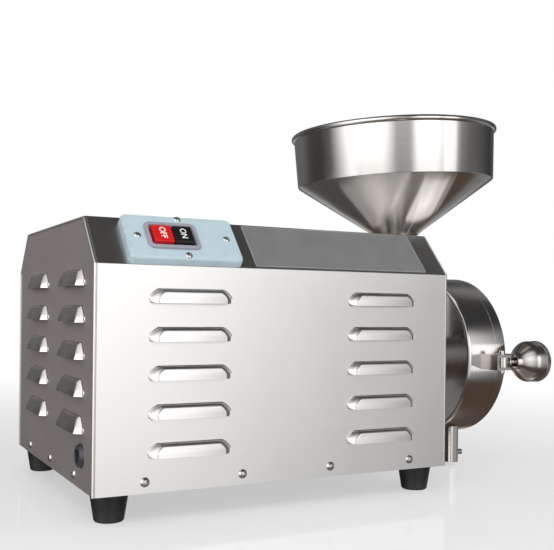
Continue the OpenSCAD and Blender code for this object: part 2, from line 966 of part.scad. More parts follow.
module motor_shell() {
    color("#6f7d86") difference() {
        union() {
            on_shaft(motor_x0) cylinder(r = motor_r, h = motor_l);
            on_shaft(motor_x0 + fin_end) rotate([0, 0, 180 / fin_n]) around(fin_n, motor_r - fin_root)
                translate([0, -fin_t / 2, 0]) cube([fin_h + fin_root, fin_t, motor_l - 2 * fin_end]);
            for (x = [0, motor_l - rail_w], sy = [-1, 1])
                translate([motor_x0 + x, sy * motor_foot_y - motor_foot_w / 2, foot_z]) {
                    cube([rail_w, motor_foot_w, motor_foot_t]);
                    translate([0, sy < 0 ? motor_foot_w - web_t : 0, 0]) cube([rail_w, web_t, web_h]);
                }
        }
        on_shaft(motor_x0 - eps) cylinder(r = motor_r - shell_t, h = motor_l + 2 * eps);
        motor_bolt_places() translate([0, 0, foot_z]) hole(bolt_r + play, motor_foot_t + bolt_head_h + eps);
    }
}

// The end shield with its bearing seat, its inner side on Z = 0
module shield() {
    mouth_r = motor_r - shell_t;
    color("#65727a") difference() {
        rotate_extrude() polygon([
            [bearing_r, 0], [mouth_r - shield_dish, 0], [mouth_r - shield_in, shield_in],
            [motor_r, shield_in], [motor_r, shield_l - shield_edge],
            [motor_r - shield_edge, shield_l - shield_edge], [motor_r - shield_face, shield_l],
            [shaft_r + shaft_room, shield_l], [shaft_r + shaft_room, bearing_l], [bearing_r, bearing_l]
        ]);
        around(shield_vents, shield_vent_row) hole(shield_vent_r, shield_l + eps);
    }
}
module motor_shield_front() {
    on_shaft(motor_x1 - shield_in) shield();
}
module motor_shield_rear() {
    on_shaft_back(motor_x0 + shield_in) {
        shield();
        color("#65727a") translate([0, 0, shield_l - shield_edge])
            ring(cover_r - cover_t, cover_seat_r, cover_seat_l);
    }
}

module bearing() {
    color("#c4c6c8") ring(bearing_r, shaft_r + fit, bearing_l);
}
module bearing_front() {
    on_shaft(motor_x1 - shield_in) bearing();
}
module bearing_rear() {
    on_shaft_back(motor_x0 + shield_in) bearing();
}

module motor_fan_cover() {
    color("#4d565c") on_shaft(cover_x) difference() {
        cylinder(r = cover_r, h = fan_cover_l);
        translate([0, 0, cover_t]) cylinder(r = cover_r - cover_t, h = fan_cover_l);
        for (r = [vent_in, vent_out])
            around(vent_n, r) translate([0, -vent_w / 2, -eps]) cube([vent_l, vent_w, cover_t + 2 * eps]);
    }
}

module motor_rails() {
    inner = rail_w - 2 * rail_t;
    color("#7b8084") difference() {
        for (x = [0, motor_l - rail_w])
            translate([motor_x0 + x, -rail_y, z0 + base_t]) difference() {
                cube([rail_w, 2 * rail_y, rail_h]);
                translate([rail_t, -eps, -eps]) cube([inner, 2 * (rail_y + eps), rail_h - rail_t + eps]);
            }
        motor_bolt_places() translate([0, 0, foot_z]) hole(bolt_r + play, rail_t + eps);
    }
}

module motor_bolts() {
    shank = foot_z + motor_foot_t - z0 + bolt_out;
    color("#b4b6b7") motor_bolt_places() translate([0, 0, foot_z + motor_foot_t])
        hex_bolt(bolt_head_r, bolt_head_h, bolt_r, shank);
}

module stator_core() {
    color("#8a8d8f") on_shaft(motor_x0 + stator_gap) difference() {
        ring(motor_r - shell_t, core_r, stator_l);
        around(slot_n, core_r + slot_lip) translate([0, -slot_w / 2, -eps])
            cube([slot_d, slot_w, stator_l + 2 * eps]);
    }
}

module stator_windings() {
    color("#a4602c") for (x = [motor_x0 + stator_gap - winding_l, motor_x1 - stator_gap])
        on_shaft(x) rotate_extrude() translate([core_r + winding_out, winding_l / 2])
            round_rect(winding_w, winding_l, winding_round);
}

module capacitor() {
    color("#d8d8d4") translate([can_x, can_y, can_z]) rotate([0, 90, 0]) {
        cylinder(r = can_r, h = can_l);
        translate([0, 0, can_l]) cylinder(r = can_r - can_step, h = tag_l);
        for (s = [-1, 1])
            translate([s * 1.5 * tag_l, -tag_l / 2, can_l + tag_l]) cube([tag_t, tag_l, 2 * tag_l]);
    }
}
module capacitor_clip() {
    foot_w = 2 * can_r + clip_foot;
    color("#9a9da0") difference() {
        union() {
            translate([clip_x, can_y, can_z]) rotate([0, 90, 0]) cylinder(r = can_r + clip_t, h = clip_w);
            translate([clip_x, can_y - foot_w / 2, z0 + base_t]) cube([clip_w, foot_w, 2 * clip_t]);
        }
        translate([clip_x, can_y, can_z]) rotate([0, 90, 0]) hole(can_r, clip_w + eps);
    }
}

// Turning parts

module motor_shaft() {
    shoulder = disc_x + disc_t + disc_hub_up;
    color("#b8babc") difference() {
        union() {
            on_shaft(shaft_x) cylinder(r = shaft_r, h = shoulder - shaft_x);
            on_shaft(disc_x + disc_t) cylinder(r = stud_r, h = stud_l);
        }
        on_shaft(feed_face + key_in) translate([-shaft_r - eps, -key_w / 2, 0])
            cube([key_d + eps, key_w, drum_gap - key_in]);
    }
}

module rotor_core() {
    color("#8f9193") on_shaft(motor_x0 + stator_gap) difference() {
        union() {
            ring(core_r - air_gap, shaft_r + fit / 2, stator_l);
            translate([0, 0, -end_ring_l]) ring(end_ring_out, end_ring_in, stator_l + 2 * end_ring_l);
        }
        around(bar_n, core_r - bar_d) translate([0, -bar_w / 2, -eps])
            cube([bar_d + eps, bar_w, stator_l + 2 * eps]);
    }
}

module cooling_fan() {
    color("#3c4246") on_shaft(fan_x) difference() {
        union() {
            cylinder(r = fan_hub_r, h = fan_w);
            translate([0, 0, fan_w - fan_disc_t]) cylinder(r = fan_disc_r, h = fan_disc_t);
            around(blade_n, blade_root) translate([0, -blade_t / 2, 0])
                cube([fan_r - blade_root, blade_t, fan_w]);
        }
        hole(shaft_r + fit / 2, fan_w + eps);
    }
}

module feed_auger() {
    l = drum_x + auger_in - feed_face - flange_t - auger_gap;
    flight_l = l - auger_bare;
    turn = 360 * flight_l / auger_pitch;
    color("#c2c4c6") on_shaft(feed_face + flange_t + auger_gap) difference() {
        union() {
            cylinder(r = sleeve_r, h = l);
            linear_extrude(flight_l, twist = -turn, slices = auger_slices, $fn = auger_facets)
                translate([0, -auger_t / 2]) square([tube_r - auger_room, auger_t]);
        }
        hole(shaft_r + fit / 2, l + eps);
    }
}

module toothed_disc() {
    hub_l = disc_hub_back + disc_t + disc_hub_up;
    color("#aeb1b4") on_shaft(disc_x) difference() {
        union() {
            cylinder(r = disc_r, h = disc_t);
            translate([0, 0, -disc_hub_back]) cylinder(r = disc_hub_r, h = hub_l);
        }
        hole(shaft_r + fit / 2, hub_l + eps);
        around(disc_slots, 0) translate([0, 0, -eps]) rotate_extrude(angle = disc_slot_a)
            translate([disc_slot_in, 0]) square([disc_slot_w, disc_t + 2 * eps]);
        translate([0, 0, disc_t]) around(tooth_n, outer_row) peg_bore();
        translate([0, 0, disc_t]) around(tooth_n / 2, inner_row) peg_bore();
    }
}

module disc_teeth() {
    color("#9da0a4") on_shaft(disc_x + disc_t) {
        around(tooth_n, outer_row) tooth(tooth_w, tooth_h);
        around(tooth_n / 2, inner_row) tooth(inner_tooth_w, tooth_h);
    }
}

module disc_nut() {
    color("#c7c9ca") on_shaft(disc_x + disc_t + disc_hub_up) difference() {
        union() {
            cylinder(r = washer_r, h = washer_t);
            cylinder(r = nut_r, h = nut_l, $fn = 6);
        }
        hole(stud_r + fit / 2, nut_l + eps);
    }
}

// Feed tube and mill chamber

module feed_housing() {
    l = drum_x - feed_face;
    color("#c6c8ca") difference() {
        union() {
            on_shaft(feed_face) cylinder(r = flange_r, h = flange_t);
            on_shaft(feed_face) cylinder(r = tube_r + tube_t, h = l);
            on_shaft(drum_x - drum_flange_t) cylinder(r = drum_flange_r, h = drum_flange_t);
            on_seat() translate([0, 0, socket_low]) cylinder(r = spigot_r + socket_t, h = -socket_low);
            on_seat() translate([0, 0, -socket_lip_h]) cylinder(r = lip_r, h = socket_lip_h);
        }
        on_shaft(feed_face + flange_t) cylinder(r = tube_r, h = l);
        on_shaft(feed_face - eps) cylinder(r = seal_r, h = flange_t - seal_wall + eps);
        on_shaft(feed_face) hole(shaft_r + eps, flange_t + eps);
        on_seat() translate([0, 0, socket_low]) cylinder(r = spigot_r + spigot_play, h = eps - socket_low);
        feed_bolt_places() hole(feed_bolt_r + play, flange_t + eps);
        chamber_bolt_places() hole(chamber_bolt_r + play, back_t + drum_flange_t + chamber_nut_h + eps);
    }
}

module shaft_seal() {
    color("#303033") on_shaft(feed_face) ring(seal_r, shaft_r + fit, flange_t - seal_wall);
}

module feed_bolts() {
    grip = flange_t + sheet_t;
    color("#d0d2d3") feed_bolt_places() translate([0, 0, flange_t]) {
        hex_bolt(feed_head_r, feed_head_h, feed_bolt_r, grip + feed_bolt_out);
        translate([0, 0, -grip - feed_head_h]) cylinder(r = feed_head_r, h = feed_head_h, $fn = 6);
    }
}

module chamber_body() {
    color("#cfd1d3") difference() {
        on_shaft(drum_x) cylinder(r = drum_r, h = drum_l);
        on_shaft(drum_x + back_t) cylinder(r = drum_r - drum_wall, h = drum_l);
        on_shaft(drum_x) hole(tube_r, back_t + eps);
        chamber_bolt_places() hole(chamber_bolt_r + play, back_t + eps);
        translate([chute_x + chute_t, chute_y + chute_t, shaft_z - drum_r - chute_cut])
            cube([chute_w - 2 * chute_t, chute_d - 2 * chute_t, chute_cut_h]);
    }
}

module chamber_bolts() {
    grip = back_t + drum_flange_t;
    color("#c0c2c4") chamber_bolt_places() {
        screw(chamber_head_r, chamber_head_h, chamber_bolt_r, grip + chamber_bolt_out);
        translate([0, 0, -grip - chamber_nut_h]) cylinder(r = chamber_nut_r, h = chamber_nut_h, $fn = 6);
    }
}

module ring_sieve() {
    color("#b5b7b9") on_shaft(drum_x + back_t) difference() {
        ring(sieve_r + sieve_t, sieve_r, sieve_l);
        around(sieve_n, sieve_r - eps) translate([0, -sieve_slot_w / 2, sieve_end])
            cube([sieve_t + 2 * eps, sieve_slot_w, sieve_l - 2 * sieve_end]);
    }
}

module outlet_chute() {
    color("#cccecf") difference() {
        translate([chute_x + chute_w / 2, chute_y + chute_d / 2, chute_clear]) difference() {
            linear_extrude(chute_top) round_rect(chute_w, chute_d, chute_round);
            translate([0, 0, -eps]) linear_extrude(chute_top + 2 * eps)
                round_rect(chute_w - 2 * chute_t, chute_d - 2 * chute_t, chute_round - chute_t);
        }
        drum_round();
    }
}

module bag_studs() {
    color("#d5d7d8") for (s = [-1, 1])
        translate([s < 0 ? chute_x : chute_x + chute_w, s < 0 ? stud_mid_y : stud_front_y, stud_z])
            rotate([0, s * 90, 0]) {
                cylinder(r = bag_stud_r, h = bag_stud_l);
                translate([0, 0, bag_stud_l]) cylinder(r = bag_head_r, h = bag_head_l);
            }
}

// Clamp side of the chamber

module latch_bracket() {
    color("#c3c5c7") difference() {
        translate([bracket_x, -bracket_reach, clamp_z - bracket_half])
            cube([bracket_l, bracket_reach - root_y, 2 * bracket_half]);
        translate([bracket_x + bracket_t, -bracket_reach - eps, clamp_z - bracket_half + bracket_t])
            cube([bracket_l, bracket_reach, 2 * (bracket_half - bracket_t)]);
        translate([trunnion_x, -clamp_out, clamp_z]) hole(journal_r + fit, bracket_half + eps);
        drum_round();
    }
}

module clamp_trunnion() {
    straight = journal_up - journal_r;
    color("#d2d4d5") difference() {
        translate([trunnion_x, -clamp_out, clamp_z]) {
            translate([0, 0, -trunnion_h / 2]) cylinder(r = trunnion_r, h = trunnion_h);
            translate([0, 0, -straight]) cylinder(r = journal_r, h = 2 * straight);
            for (s = [-1, 1])
                translate([0, 0, s * straight]) sphere(journal_r);
        }
        on_clamp(trunnion_x) hole(clamp_r + clamp_room, trunnion_r + eps);
    }
}

module hinge_bracket() {
    lift = hinge_half + free + knuckle_h / 2;
    color("#c3c5c7") difference() {
        for (s = [-1, 1])
            translate([0, 0, shaft_z + s * lift - knuckle_h / 2]) {
                translate([hinge_back, root_y, 0]) cube([hinge_base_l, hinge_out - root_y, knuckle_h]);
                translate([hinge_back, hinge_out - knuckle_r, 0])
                    cube([hinge_x - hinge_back, hinge_arm_t, knuckle_h]);
                translate([hinge_x, hinge_out, 0]) cylinder(r = knuckle_r, h = knuckle_h);
            }
        translate([hinge_x, hinge_out, shaft_z]) hole(hinge_r + fit / 2, lift + knuckle_h);
        drum_round();
    }
}

module hinge_pin() {
    half = hinge_half + free + knuckle_h;
    color("#d2d4d5") translate([hinge_x, hinge_out, shaft_z]) {
        translate([0, 0, -half]) cylinder(r = hinge_r, h = 2 * half);
        for (s = [0, 1])
            mirror([0, 0, s]) translate([0, 0, half])
                screw(hinge_r + pin_head_out, pin_head_h, hinge_r / 2, eps);
    }
}

// Door

module door_dish() {
    inner = drum_r - drum_wall;
    color("#d3d5d7") on_shaft(door_x) difference() {
        rotate_extrude() {
            translate([inner, 0]) square([drum_wall, door_l - door_round]);
            translate([0, door_l - door_t]) square([drum_r - door_round, door_t]);
            translate([inner - door_step, door_l - door_t - door_step]) square([drum_wall, door_t]);
            translate([drum_r - door_round, door_l - door_round]) circle(door_round);
        }
        translate([0, 0, -eps]) ring(drum_r - door_seal_in, inner + door_seal_in, door_seal_d + eps);
    }
}

module door_seal() {
    color("#3a3a3c") on_shaft(door_x)
        ring(drum_r - door_seal_in, drum_r - drum_wall + door_seal_in, door_seal_d);
}

module fixed_ring() {
    color("#aeb1b4") on_shaft_back(door_face - door_t) difference() {
        ring(fixed_row + fixed_w / 2, fixed_row - fixed_w / 2, fixed_t);
        translate([0, 0, fixed_t]) around(fixed_n, fixed_row) peg_bore();
    }
}

module fixed_teeth() {
    color("#9da0a4") on_shaft_back(door_face - door_t - fixed_t)
        around(fixed_n, fixed_row) tooth(inner_tooth_w, fixed_tooth_h);
}

module door_hinge_arm() {
    color("#c3c5c7") difference() {
        translate([hinge_x, 0, shaft_z - hinge_half]) {
            translate([-hinge_arm_t / 2, root_y, 0]) cube([hinge_arm_t, hinge_out - root_y, 2 * hinge_half]);
            translate([0, hinge_out, 0]) cylinder(r = knuckle_r, h = 2 * hinge_half);
        }
        translate([hinge_x, hinge_out, shaft_z]) hole(hinge_r + fit, hinge_half + eps);
        drum_round();
    }
}

module door_fork() {
    arm = fork_half - fork_slot;
    tip_y = arm / 2 - clamp_out - fork_tip;
    color("#c8cacc") difference() {
        translate([fork_x, tip_y, clamp_z]) {
            translate([0, 0, -fork_half]) cube([fork_t, fork_l, 2 * fork_half]);
            for (s = [-1, 1])
                translate([0, 0, s * (fork_half - arm / 2)]) rotate([0, 90, 0])
                    cylinder(r = arm / 2, h = fork_t);
        }
        translate([fork_x - eps, -clamp_out - 2 * fork_tip, clamp_z - fork_slot])
            cube([fork_t + 2 * eps, 2 * fork_tip, 2 * fork_slot]);
        on_clamp(fork_x) hole(fork_slot, fork_t + eps);
        drum_round();
    }
}

module clamp_screw() {
    color("#cdcfd0") {
        on_clamp(clamp_x) cylinder(r = clamp_r, h = hub_x + knob_bore_l - play - clamp_x);
        on_clamp(collar_x) cylinder(r = collar_r, h = collar_l);
    }
}

module clamp_knob() {
    flare = [for (k = [0 : flare_n]) [flare_r(k / flare_n), neck_l + flare_l * k / flare_n]];
    rim = [[knob_r, knob_l - knob_edge], [knob_r - knob_edge, knob_l], [0, knob_l]];
    color("#c9cbcd") on_clamp(hub_x) difference() {
        rotate_extrude() {
            polygon(concat([[0, 0], [neck_r, 0]], flare, rim));
            translate([knob_r - knob_edge, knob_l - knob_edge]) circle(knob_edge);
        }
        hole(clamp_r + fit / 2, knob_bore_l);
        translate([0, 0, knob_l]) hole(knob_dish_r, knob_dish_d);
    }
}

// Hopper

module hopper_bowl() {
    t = hopper_t;
    color("#d0d2d4") on_seat() rotate_extrude() {
        polygon([
            [hopper_base_r - t, cone_top], [hopper_base_r, cone_top],
            [hopper_r, rim_top - bead_r], [hopper_r - t, rim_top - bead_r]
        ]);
        translate([hopper_r, rim_top - bead_r]) circle(bead_r);
    }
}

module hopper_cone() {
    t = hopper_t;
    color("#cccecf") on_seat() rotate_extrude() polygon([
        [spigot_r - t, seat_t], [spigot_r, seat_t], [cone_low_r, cone_low], [hopper_base_r, cone_top],
        [hopper_base_r - t, cone_top], [cone_low_r - t, cone_low + cone_lap]
    ]);
}

module hopper_spout() {
    color("#c6c8ca") on_seat() rotate_extrude() {
        translate([spigot_r - hopper_t, -spigot_l]) square([hopper_t, spigot_l + seat_t]);
        translate([spigot_r - hopper_t, free]) square([lip_r - spigot_r + hopper_t, seat_t - free]);
    }
}

base_tray();
casing_wrap();
end_panel_motor();
end_panel_mill();
casing_screws();
foot_front_left();
foot_front_right();
foot_back_left();
foot_back_right();
foot_screws();
cable_grommet();
switch_plate();
switch_bezel();
switch_body();
switch_plate_screws();
button_off();
button_on();
rating_plate();
motor_shell();
motor_shield_rear();
motor_shield_front();
motor_fan_cover();
motor_rails();
motor_bolts();
stator_core();
stator_windings();
bearing_rear();
bearing_front();
capacitor();
capacitor_clip();
motor_shaft();
rotor_core();
cooling_fan();
feed_auger();
toothed_disc();
disc_teeth();
disc_nut();
feed_housing();
shaft_seal();
feed_bolts();
chamber_body();
chamber_bolts();
ring_sieve();
outlet_chute();
bag_studs();
latch_bracket();
clamp_trunnion();
hinge_bracket();
hinge_pin();
door_dish();
door_seal();
fixed_ring();
fixed_teeth();
door_hinge_arm();
door_fork();
clamp_screw();
clamp_knob();
hopper_bowl();
hopper_cone();
hopper_spout();
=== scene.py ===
"""Looks of a bench mill for nuts: louvred steel casing, switch, hopper, mill chamber and clamp.

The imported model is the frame. Pieces with a finer form ride on its bodies and stand for its nodes,
and every other node keeps its shape and gets the finish of the material that it is made of. Shapes
are in millimetres until piece() turns them into metres.
"""

import logging
import math
from collections.abc import Callable
from dataclasses import dataclass, field
from enum import Enum
from functools import partial
from typing import ClassVar

import bmesh
import bpy
from bpy.types import Material, Mesh, Node, NodeSocket, NodeTree, Object
from mathutils import Matrix, Vector


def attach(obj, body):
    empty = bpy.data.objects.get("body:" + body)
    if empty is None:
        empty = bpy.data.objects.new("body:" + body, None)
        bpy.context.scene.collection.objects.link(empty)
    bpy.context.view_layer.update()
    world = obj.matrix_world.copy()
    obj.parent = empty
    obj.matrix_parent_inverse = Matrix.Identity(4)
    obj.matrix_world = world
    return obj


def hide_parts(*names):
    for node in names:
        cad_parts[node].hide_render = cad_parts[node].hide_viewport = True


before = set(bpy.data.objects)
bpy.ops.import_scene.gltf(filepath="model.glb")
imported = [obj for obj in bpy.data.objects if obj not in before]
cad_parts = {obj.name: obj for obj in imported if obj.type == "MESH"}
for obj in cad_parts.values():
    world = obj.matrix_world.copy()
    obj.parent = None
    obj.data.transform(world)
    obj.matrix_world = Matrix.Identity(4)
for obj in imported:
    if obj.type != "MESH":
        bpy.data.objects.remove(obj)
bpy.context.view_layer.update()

LOG = logging.getLogger("nut_mill")
MM = 0.001
NOISE_LOW, NOISE_HIGH = 0.25, 0.75
WELD = 0.002
QUARTER_TURN = 0.25
ROUND_STEPS = 256
QUARTER = [math.radians(d) for d in range(0, 91, 15)]
Point = tuple[float, float]
Triple = tuple[float, float, float]


def linear(code: str) -> tuple[float, float, float, float]:
    """Turns an sRGB hex colour into a linear colour."""
    parts = [int(code[i:i + 2], 16) / 255 for i in (1, 3, 5)]
    return (*(p / 12.92 if p <= 0.04045 else ((p + 0.055) / 1.055) ** 2.4 for p in parts), 1.0)


def add(tree: NodeTree, kind: str, inputs: dict | None = None, **settings) -> Node:
    """Adds a node with its settings, input values and links.

    Args:
        tree: The tree that the node goes into.
        kind: The node's type name.
        inputs: Input name or number to a value, or to the output socket that feeds it.
        **settings: Properties of the node itself.

    Returns:
        The new node.
    """
    made = tree.nodes.new(kind)
    for name, value in settings.items():
        setattr(made, name, value)
    for key, value in (inputs or {}).items():
        if isinstance(value, NodeSocket):
            tree.links.new(value, made.inputs[key])
        else:
            made.inputs[key].default_value = value
    return made


def calc(tree: NodeTree, operation: str, first: NodeSocket, second: NodeSocket | float) -> NodeSocket:
    """Returns the result of an operation on two values."""
    return add(tree, "ShaderNodeMath", {0: first, 1: second}, operation=operation).outputs[0]


def vector(tree: NodeTree, operation: str, inputs: dict) -> NodeSocket:
    """Returns the result of an operation on vectors."""
    made = add(tree, "ShaderNodeVectorMath", inputs, operation=operation)
    return made.outputs["Value" if operation == "LENGTH" else "Vector"]


def remap(tree: NodeTree, value: NodeSocket, start: float, end: float, low: float = 0.0, high: float = 1.0,
          smooth: bool = False) -> NodeSocket:
    """Returns a value mapped from one range to another and held at its ends."""
    spans = {"Value": value, "From Min": start, "From Max": end, "To Min": low, "To Max": high}
    return add(tree, "ShaderNodeMapRange", spans,
               interpolation_type="SMOOTHSTEP" if smooth else "LINEAR").outputs[0]


def blend(tree: NodeTree, factor: NodeSocket, first: NodeSocket | tuple,
          second: NodeSocket | tuple) -> NodeSocket:
    """Returns a colour between two others."""
    return add(tree, "ShaderNodeMix", {0: factor, 6: first, 7: second}, data_type="RGBA").outputs[2]


def noise(tree: NodeTree, where: NodeSocket, size_mm: float, detail: float,
          roughness: float = 0.5) -> NodeSocket:
    """Returns a noise pattern."""
    return add(tree, "ShaderNodeTexNoise", {"Vector": where, "Scale": 1 / (size_mm * MM), "Detail": detail,
                                            "Roughness": roughness}).outputs["Fac"]


def parts_of(tree: NodeTree, where: NodeSocket) -> bpy.types.bpy_prop_collection:
    """Returns the X, Y and Z of a place as sockets."""
    return add(tree, "ShaderNodeSeparateXYZ", {0: where}).outputs


def new_material(name: str) -> tuple[Material, NodeTree]:
    """Returns a new node material and its tree.

    Args:
        name: Name of the material.
    """
    made = bpy.data.materials.new(name)
    made.use_nodes = True
    return made, made.node_tree


class Grain(Enum):
    """Direction in which a metal surface was brushed, spun or turned."""

    ALONG_X = "along_x"
    ALONG_Y = "along_y"
    ROUND_X = "round_x"
    ROUND_Z = "round_z"


@dataclass(frozen=True)
class Finish:
    """A surface finish whose material is built once, under the finish's own name."""

    metallic: ClassVar[float] = 0.0
    ior: ClassVar[float] = 1.5
    name: str
    colour: str
    roughness: float
    spread: float = 0.08
    depth: float = 0.15
    relief_mm: float = 0.15

    def material(self) -> Material:
        """Returns the finish's material and builds it on first use."""
        found = bpy.data.materials.get(self.name)
        if found:
            return found
        made, tree = new_material(self.name)
        made.diffuse_color = linear(self.colour)
        shader = tree.nodes["Principled BSDF"]
        for key, value in (("Base Color", linear(self.colour)), ("Roughness", self.roughness),
                           ("Metallic", self.metallic), ("IOR", self.ior)):
            shader.inputs[key].default_value = value
        self.dress(tree, shader, add(tree, "ShaderNodeTexCoord").outputs["Object"])
        return made

    def dress(self, tree: NodeTree, shader: Node, where: NodeSocket) -> None:
        """Adds the finish's own pattern to the shader."""
        raise NotImplementedError

    def vary(self, tree: NodeTree, shader: Node, factor: NodeSocket, dark: str) -> None:
        """Lets a pattern vary the colour and the roughness.

        Args:
            tree: The material's node tree.
            shader: Its Principled shader.
            factor: A value from 0 to 1, mostly near the middle.
            dark: The colour at low factors, as hex.
        """
        share = remap(tree, factor, NOISE_LOW, NOISE_HIGH)
        tone = blend(tree, share, linear(dark), linear(self.colour))
        gloss = remap(tree, factor, NOISE_LOW, NOISE_HIGH, self.roughness - self.spread,
                      self.roughness + self.spread)
        tree.links.new(tone, shader.inputs["Base Color"])
        tree.links.new(gloss, shader.inputs["Roughness"])

    def emboss(self, tree: NodeTree, shader: Node, height: NodeSocket) -> None:
        """Lets a pattern roughen the surface."""
        bump = add(tree, "ShaderNodeBump", {"Strength": self.depth, "Distance": self.relief_mm * MM,
                                            "Height": height})
        tree.links.new(bump.outputs[0], shader.inputs["Normal"])


@dataclass(frozen=True)
class BrushedSteel(Finish):
    """Stainless steel: the abrasive leaves fine parallel lines, and handling leaves a faint haze.

    The real lines are about 0.1 mm wide. They are drawn wider, so that they show in the picture.
    """

    metallic: ClassVar[float] = 1.0
    grain: Grain = Grain.ALONG_X
    dark: str = "#bdbab8"
    line_mm: float = 0.9
    run_mm: float = 90.0
    haze_mm: float = 60.0
    anisotropic: float = 0.0
    centre: Triple = (0.0, 0.0, 0.0)
    lean: float = 0.0
    depth: float = 0.05
    spread: float = 0.04
    relief_mm: float = 0.05

    def dress(self, tree: NodeTree, shader: Node, where: NodeSocket) -> None:
        """Adds the brushed lines, the haze and the stretched highlights of a turned surface."""
        shader.inputs["Anisotropic"].default_value = self.anisotropic
        track = add(tree, "ShaderNodeMapping",
                    {"Vector": where, "Location": self.centre, "Rotation": (0.0, self.lean, 0.0)},
                    vector_type="TEXTURE").outputs[0]
        fine, run = 1 / (self.line_mm * MM), 1 / (self.run_mm * MM)
        stretch = {Grain.ALONG_X: (run, fine, fine), Grain.ALONG_Y: (fine, run, fine)}.get(
            self.grain, (fine, fine, fine))
        if self.grain in (Grain.ROUND_X, Grain.ROUND_Z):
            axis, flat = ("X", (0, 1, 1)) if self.grain is Grain.ROUND_X else ("Z", (1, 1, 0))
            radius = vector(tree, "LENGTH", {0: vector(tree, "MULTIPLY", {0: track, 1: flat})})
            along = parts_of(tree, track)[axis]
            track = add(tree, "ShaderNodeCombineXYZ", {"X": radius, "Y": along}).outputs[0]
            spin = add(tree, "ShaderNodeTangent", direction_type="RADIAL", axis=axis)
            tree.links.new(spin.outputs[0], shader.inputs["Tangent"])
            shader.inputs["Anisotropic Rotation"].default_value = QUARTER_TURN
        streak = noise(tree, vector(tree, "MULTIPLY", {0: track, 1: stretch}), 1 / MM, detail=3.0,
                       roughness=0.6)
        both = calc(tree, "ADD", streak, noise(tree, where, self.haze_mm, detail=4.0))
        self.vary(tree, shader, calc(tree, "MULTIPLY", both, 0.5), self.dark)
        self.emboss(tree, shader, streak)


@dataclass(frozen=True)
class PlatedSteel(Finish):
    """Zinc on steel: a dull silver with crystals that differ a little in tone."""

    metallic: ClassVar[float] = 1.0
    dark: str = "#9a9c9d"
    crystal_mm: float = 4.0

    def dress(self, tree: NodeTree, shader: Node, where: NodeSocket) -> None:
        """Adds the zinc crystals."""
        cells = add(tree, "ShaderNodeTexVoronoi", {"Vector": where, "Scale": 1 / (self.crystal_mm * MM)})
        value = add(tree, "ShaderNodeSeparateColor", {0: cells.outputs["Color"]})
        self.vary(tree, shader, value.outputs[0], self.dark)


@dataclass(frozen=True)
class MouldedPlastic(Finish):
    """Moulded ABS: an even colour under a fine spark-eroded grain, a little paler where it is rubbed."""

    ior: ClassVar[float] = 1.53
    dark: str = "#000000"
    grain_mm: float = 0.7
    cloud_mm: float = 18.0
    spread: float = 0.06
    depth: float = 0.08
    relief_mm: float = 0.08

    def dress(self, tree: NodeTree, shader: Node, where: NodeSocket) -> None:
        """Adds the mould grain and soft changes of tone."""
        self.vary(tree, shader, noise(tree, where, self.cloud_mm, detail=5.0), self.dark)
        self.emboss(tree, shader, noise(tree, where, self.grain_mm, detail=2.0))


@dataclass(frozen=True)
class MouldedRubber(Finish):
    """Black moulded rubber: matt, with a bloom of dust that gathers towards the floor."""

    ior: ClassVar[float] = 1.52
    dust: str = "#55534f"
    mottle_mm: float = 6.0
    dust_mm: float = 14.0
    dust_low: float = 0.6
    dust_high: float = 0.12
    spread: float = 0.12
    depth: float = 0.12
    relief_mm: float = 0.1

    def dress(self, tree: NodeTree, shader: Node, where: NodeSocket) -> None:
        """Adds the mottling and the dust."""
        mottle = noise(tree, where, self.mottle_mm, detail=6.0)
        low = remap(tree, parts_of(tree, where)["Z"], 0.0, self.dust_mm * MM, self.dust_low, self.dust_high)
        tone = blend(tree, calc(tree, "MULTIPLY", mottle, low), linear(self.colour), linear(self.dust))
        gloss = remap(tree, mottle, 0.0, 1.0, self.roughness - self.spread, self.roughness + self.spread)
        tree.links.new(tone, shader.inputs["Base Color"])
        tree.links.new(gloss, shader.inputs["Roughness"])
        self.emboss(tree, shader, mottle)


@dataclass(frozen=True)
class EnamelledCasting(Finish):
    """Enamel on cast aluminium: an even coat with the ripple of orange peel."""

    dark: str = "#4f5a61"
    ripple_mm: float = 2.5

    def dress(self, tree: NodeTree, shader: Node, where: NodeSocket) -> None:
        """Adds the ripple of the coat."""
        ripple = noise(tree, where, self.ripple_mm, detail=2.0)
        self.vary(tree, shader, ripple, self.dark)
        self.emboss(tree, shader, ripple)


@dataclass(frozen=True)
class LayeredMetal(Finish):
    """Stacked laminations or wound wire: fine even lines across the motor's axis."""

    metallic: ClassVar[float] = 1.0
    dark: str = "#5c3016"
    step_mm: float = 1.4
    waver: float = 0.6
    depth: float = 0.3
    relief_mm: float = 0.2

    def dress(self, tree: NodeTree, shader: Node, where: NodeSocket) -> None:
        """Adds the lines as a band pattern along X."""
        bands = add(tree, "ShaderNodeTexWave",
                    {"Vector": where, "Scale": math.tau / 20 / (self.step_mm * MM), "Distortion": self.waver,
                     "Detail": 2.0}, wave_type="BANDS", bands_direction="X").outputs["Fac"]
        self.vary(tree, shader, bands, self.dark)
        self.emboss(tree, shader, bands)


def shift(x: float, y: float, z: float = 0.0) -> Matrix:
    """Returns a move."""
    return Matrix.Translation((x, y, z))


def turn(degrees: float, axis: str) -> Matrix:
    """Returns a turn about an axis through the origin."""
    return Matrix.Rotation(math.radians(degrees), 4, axis)


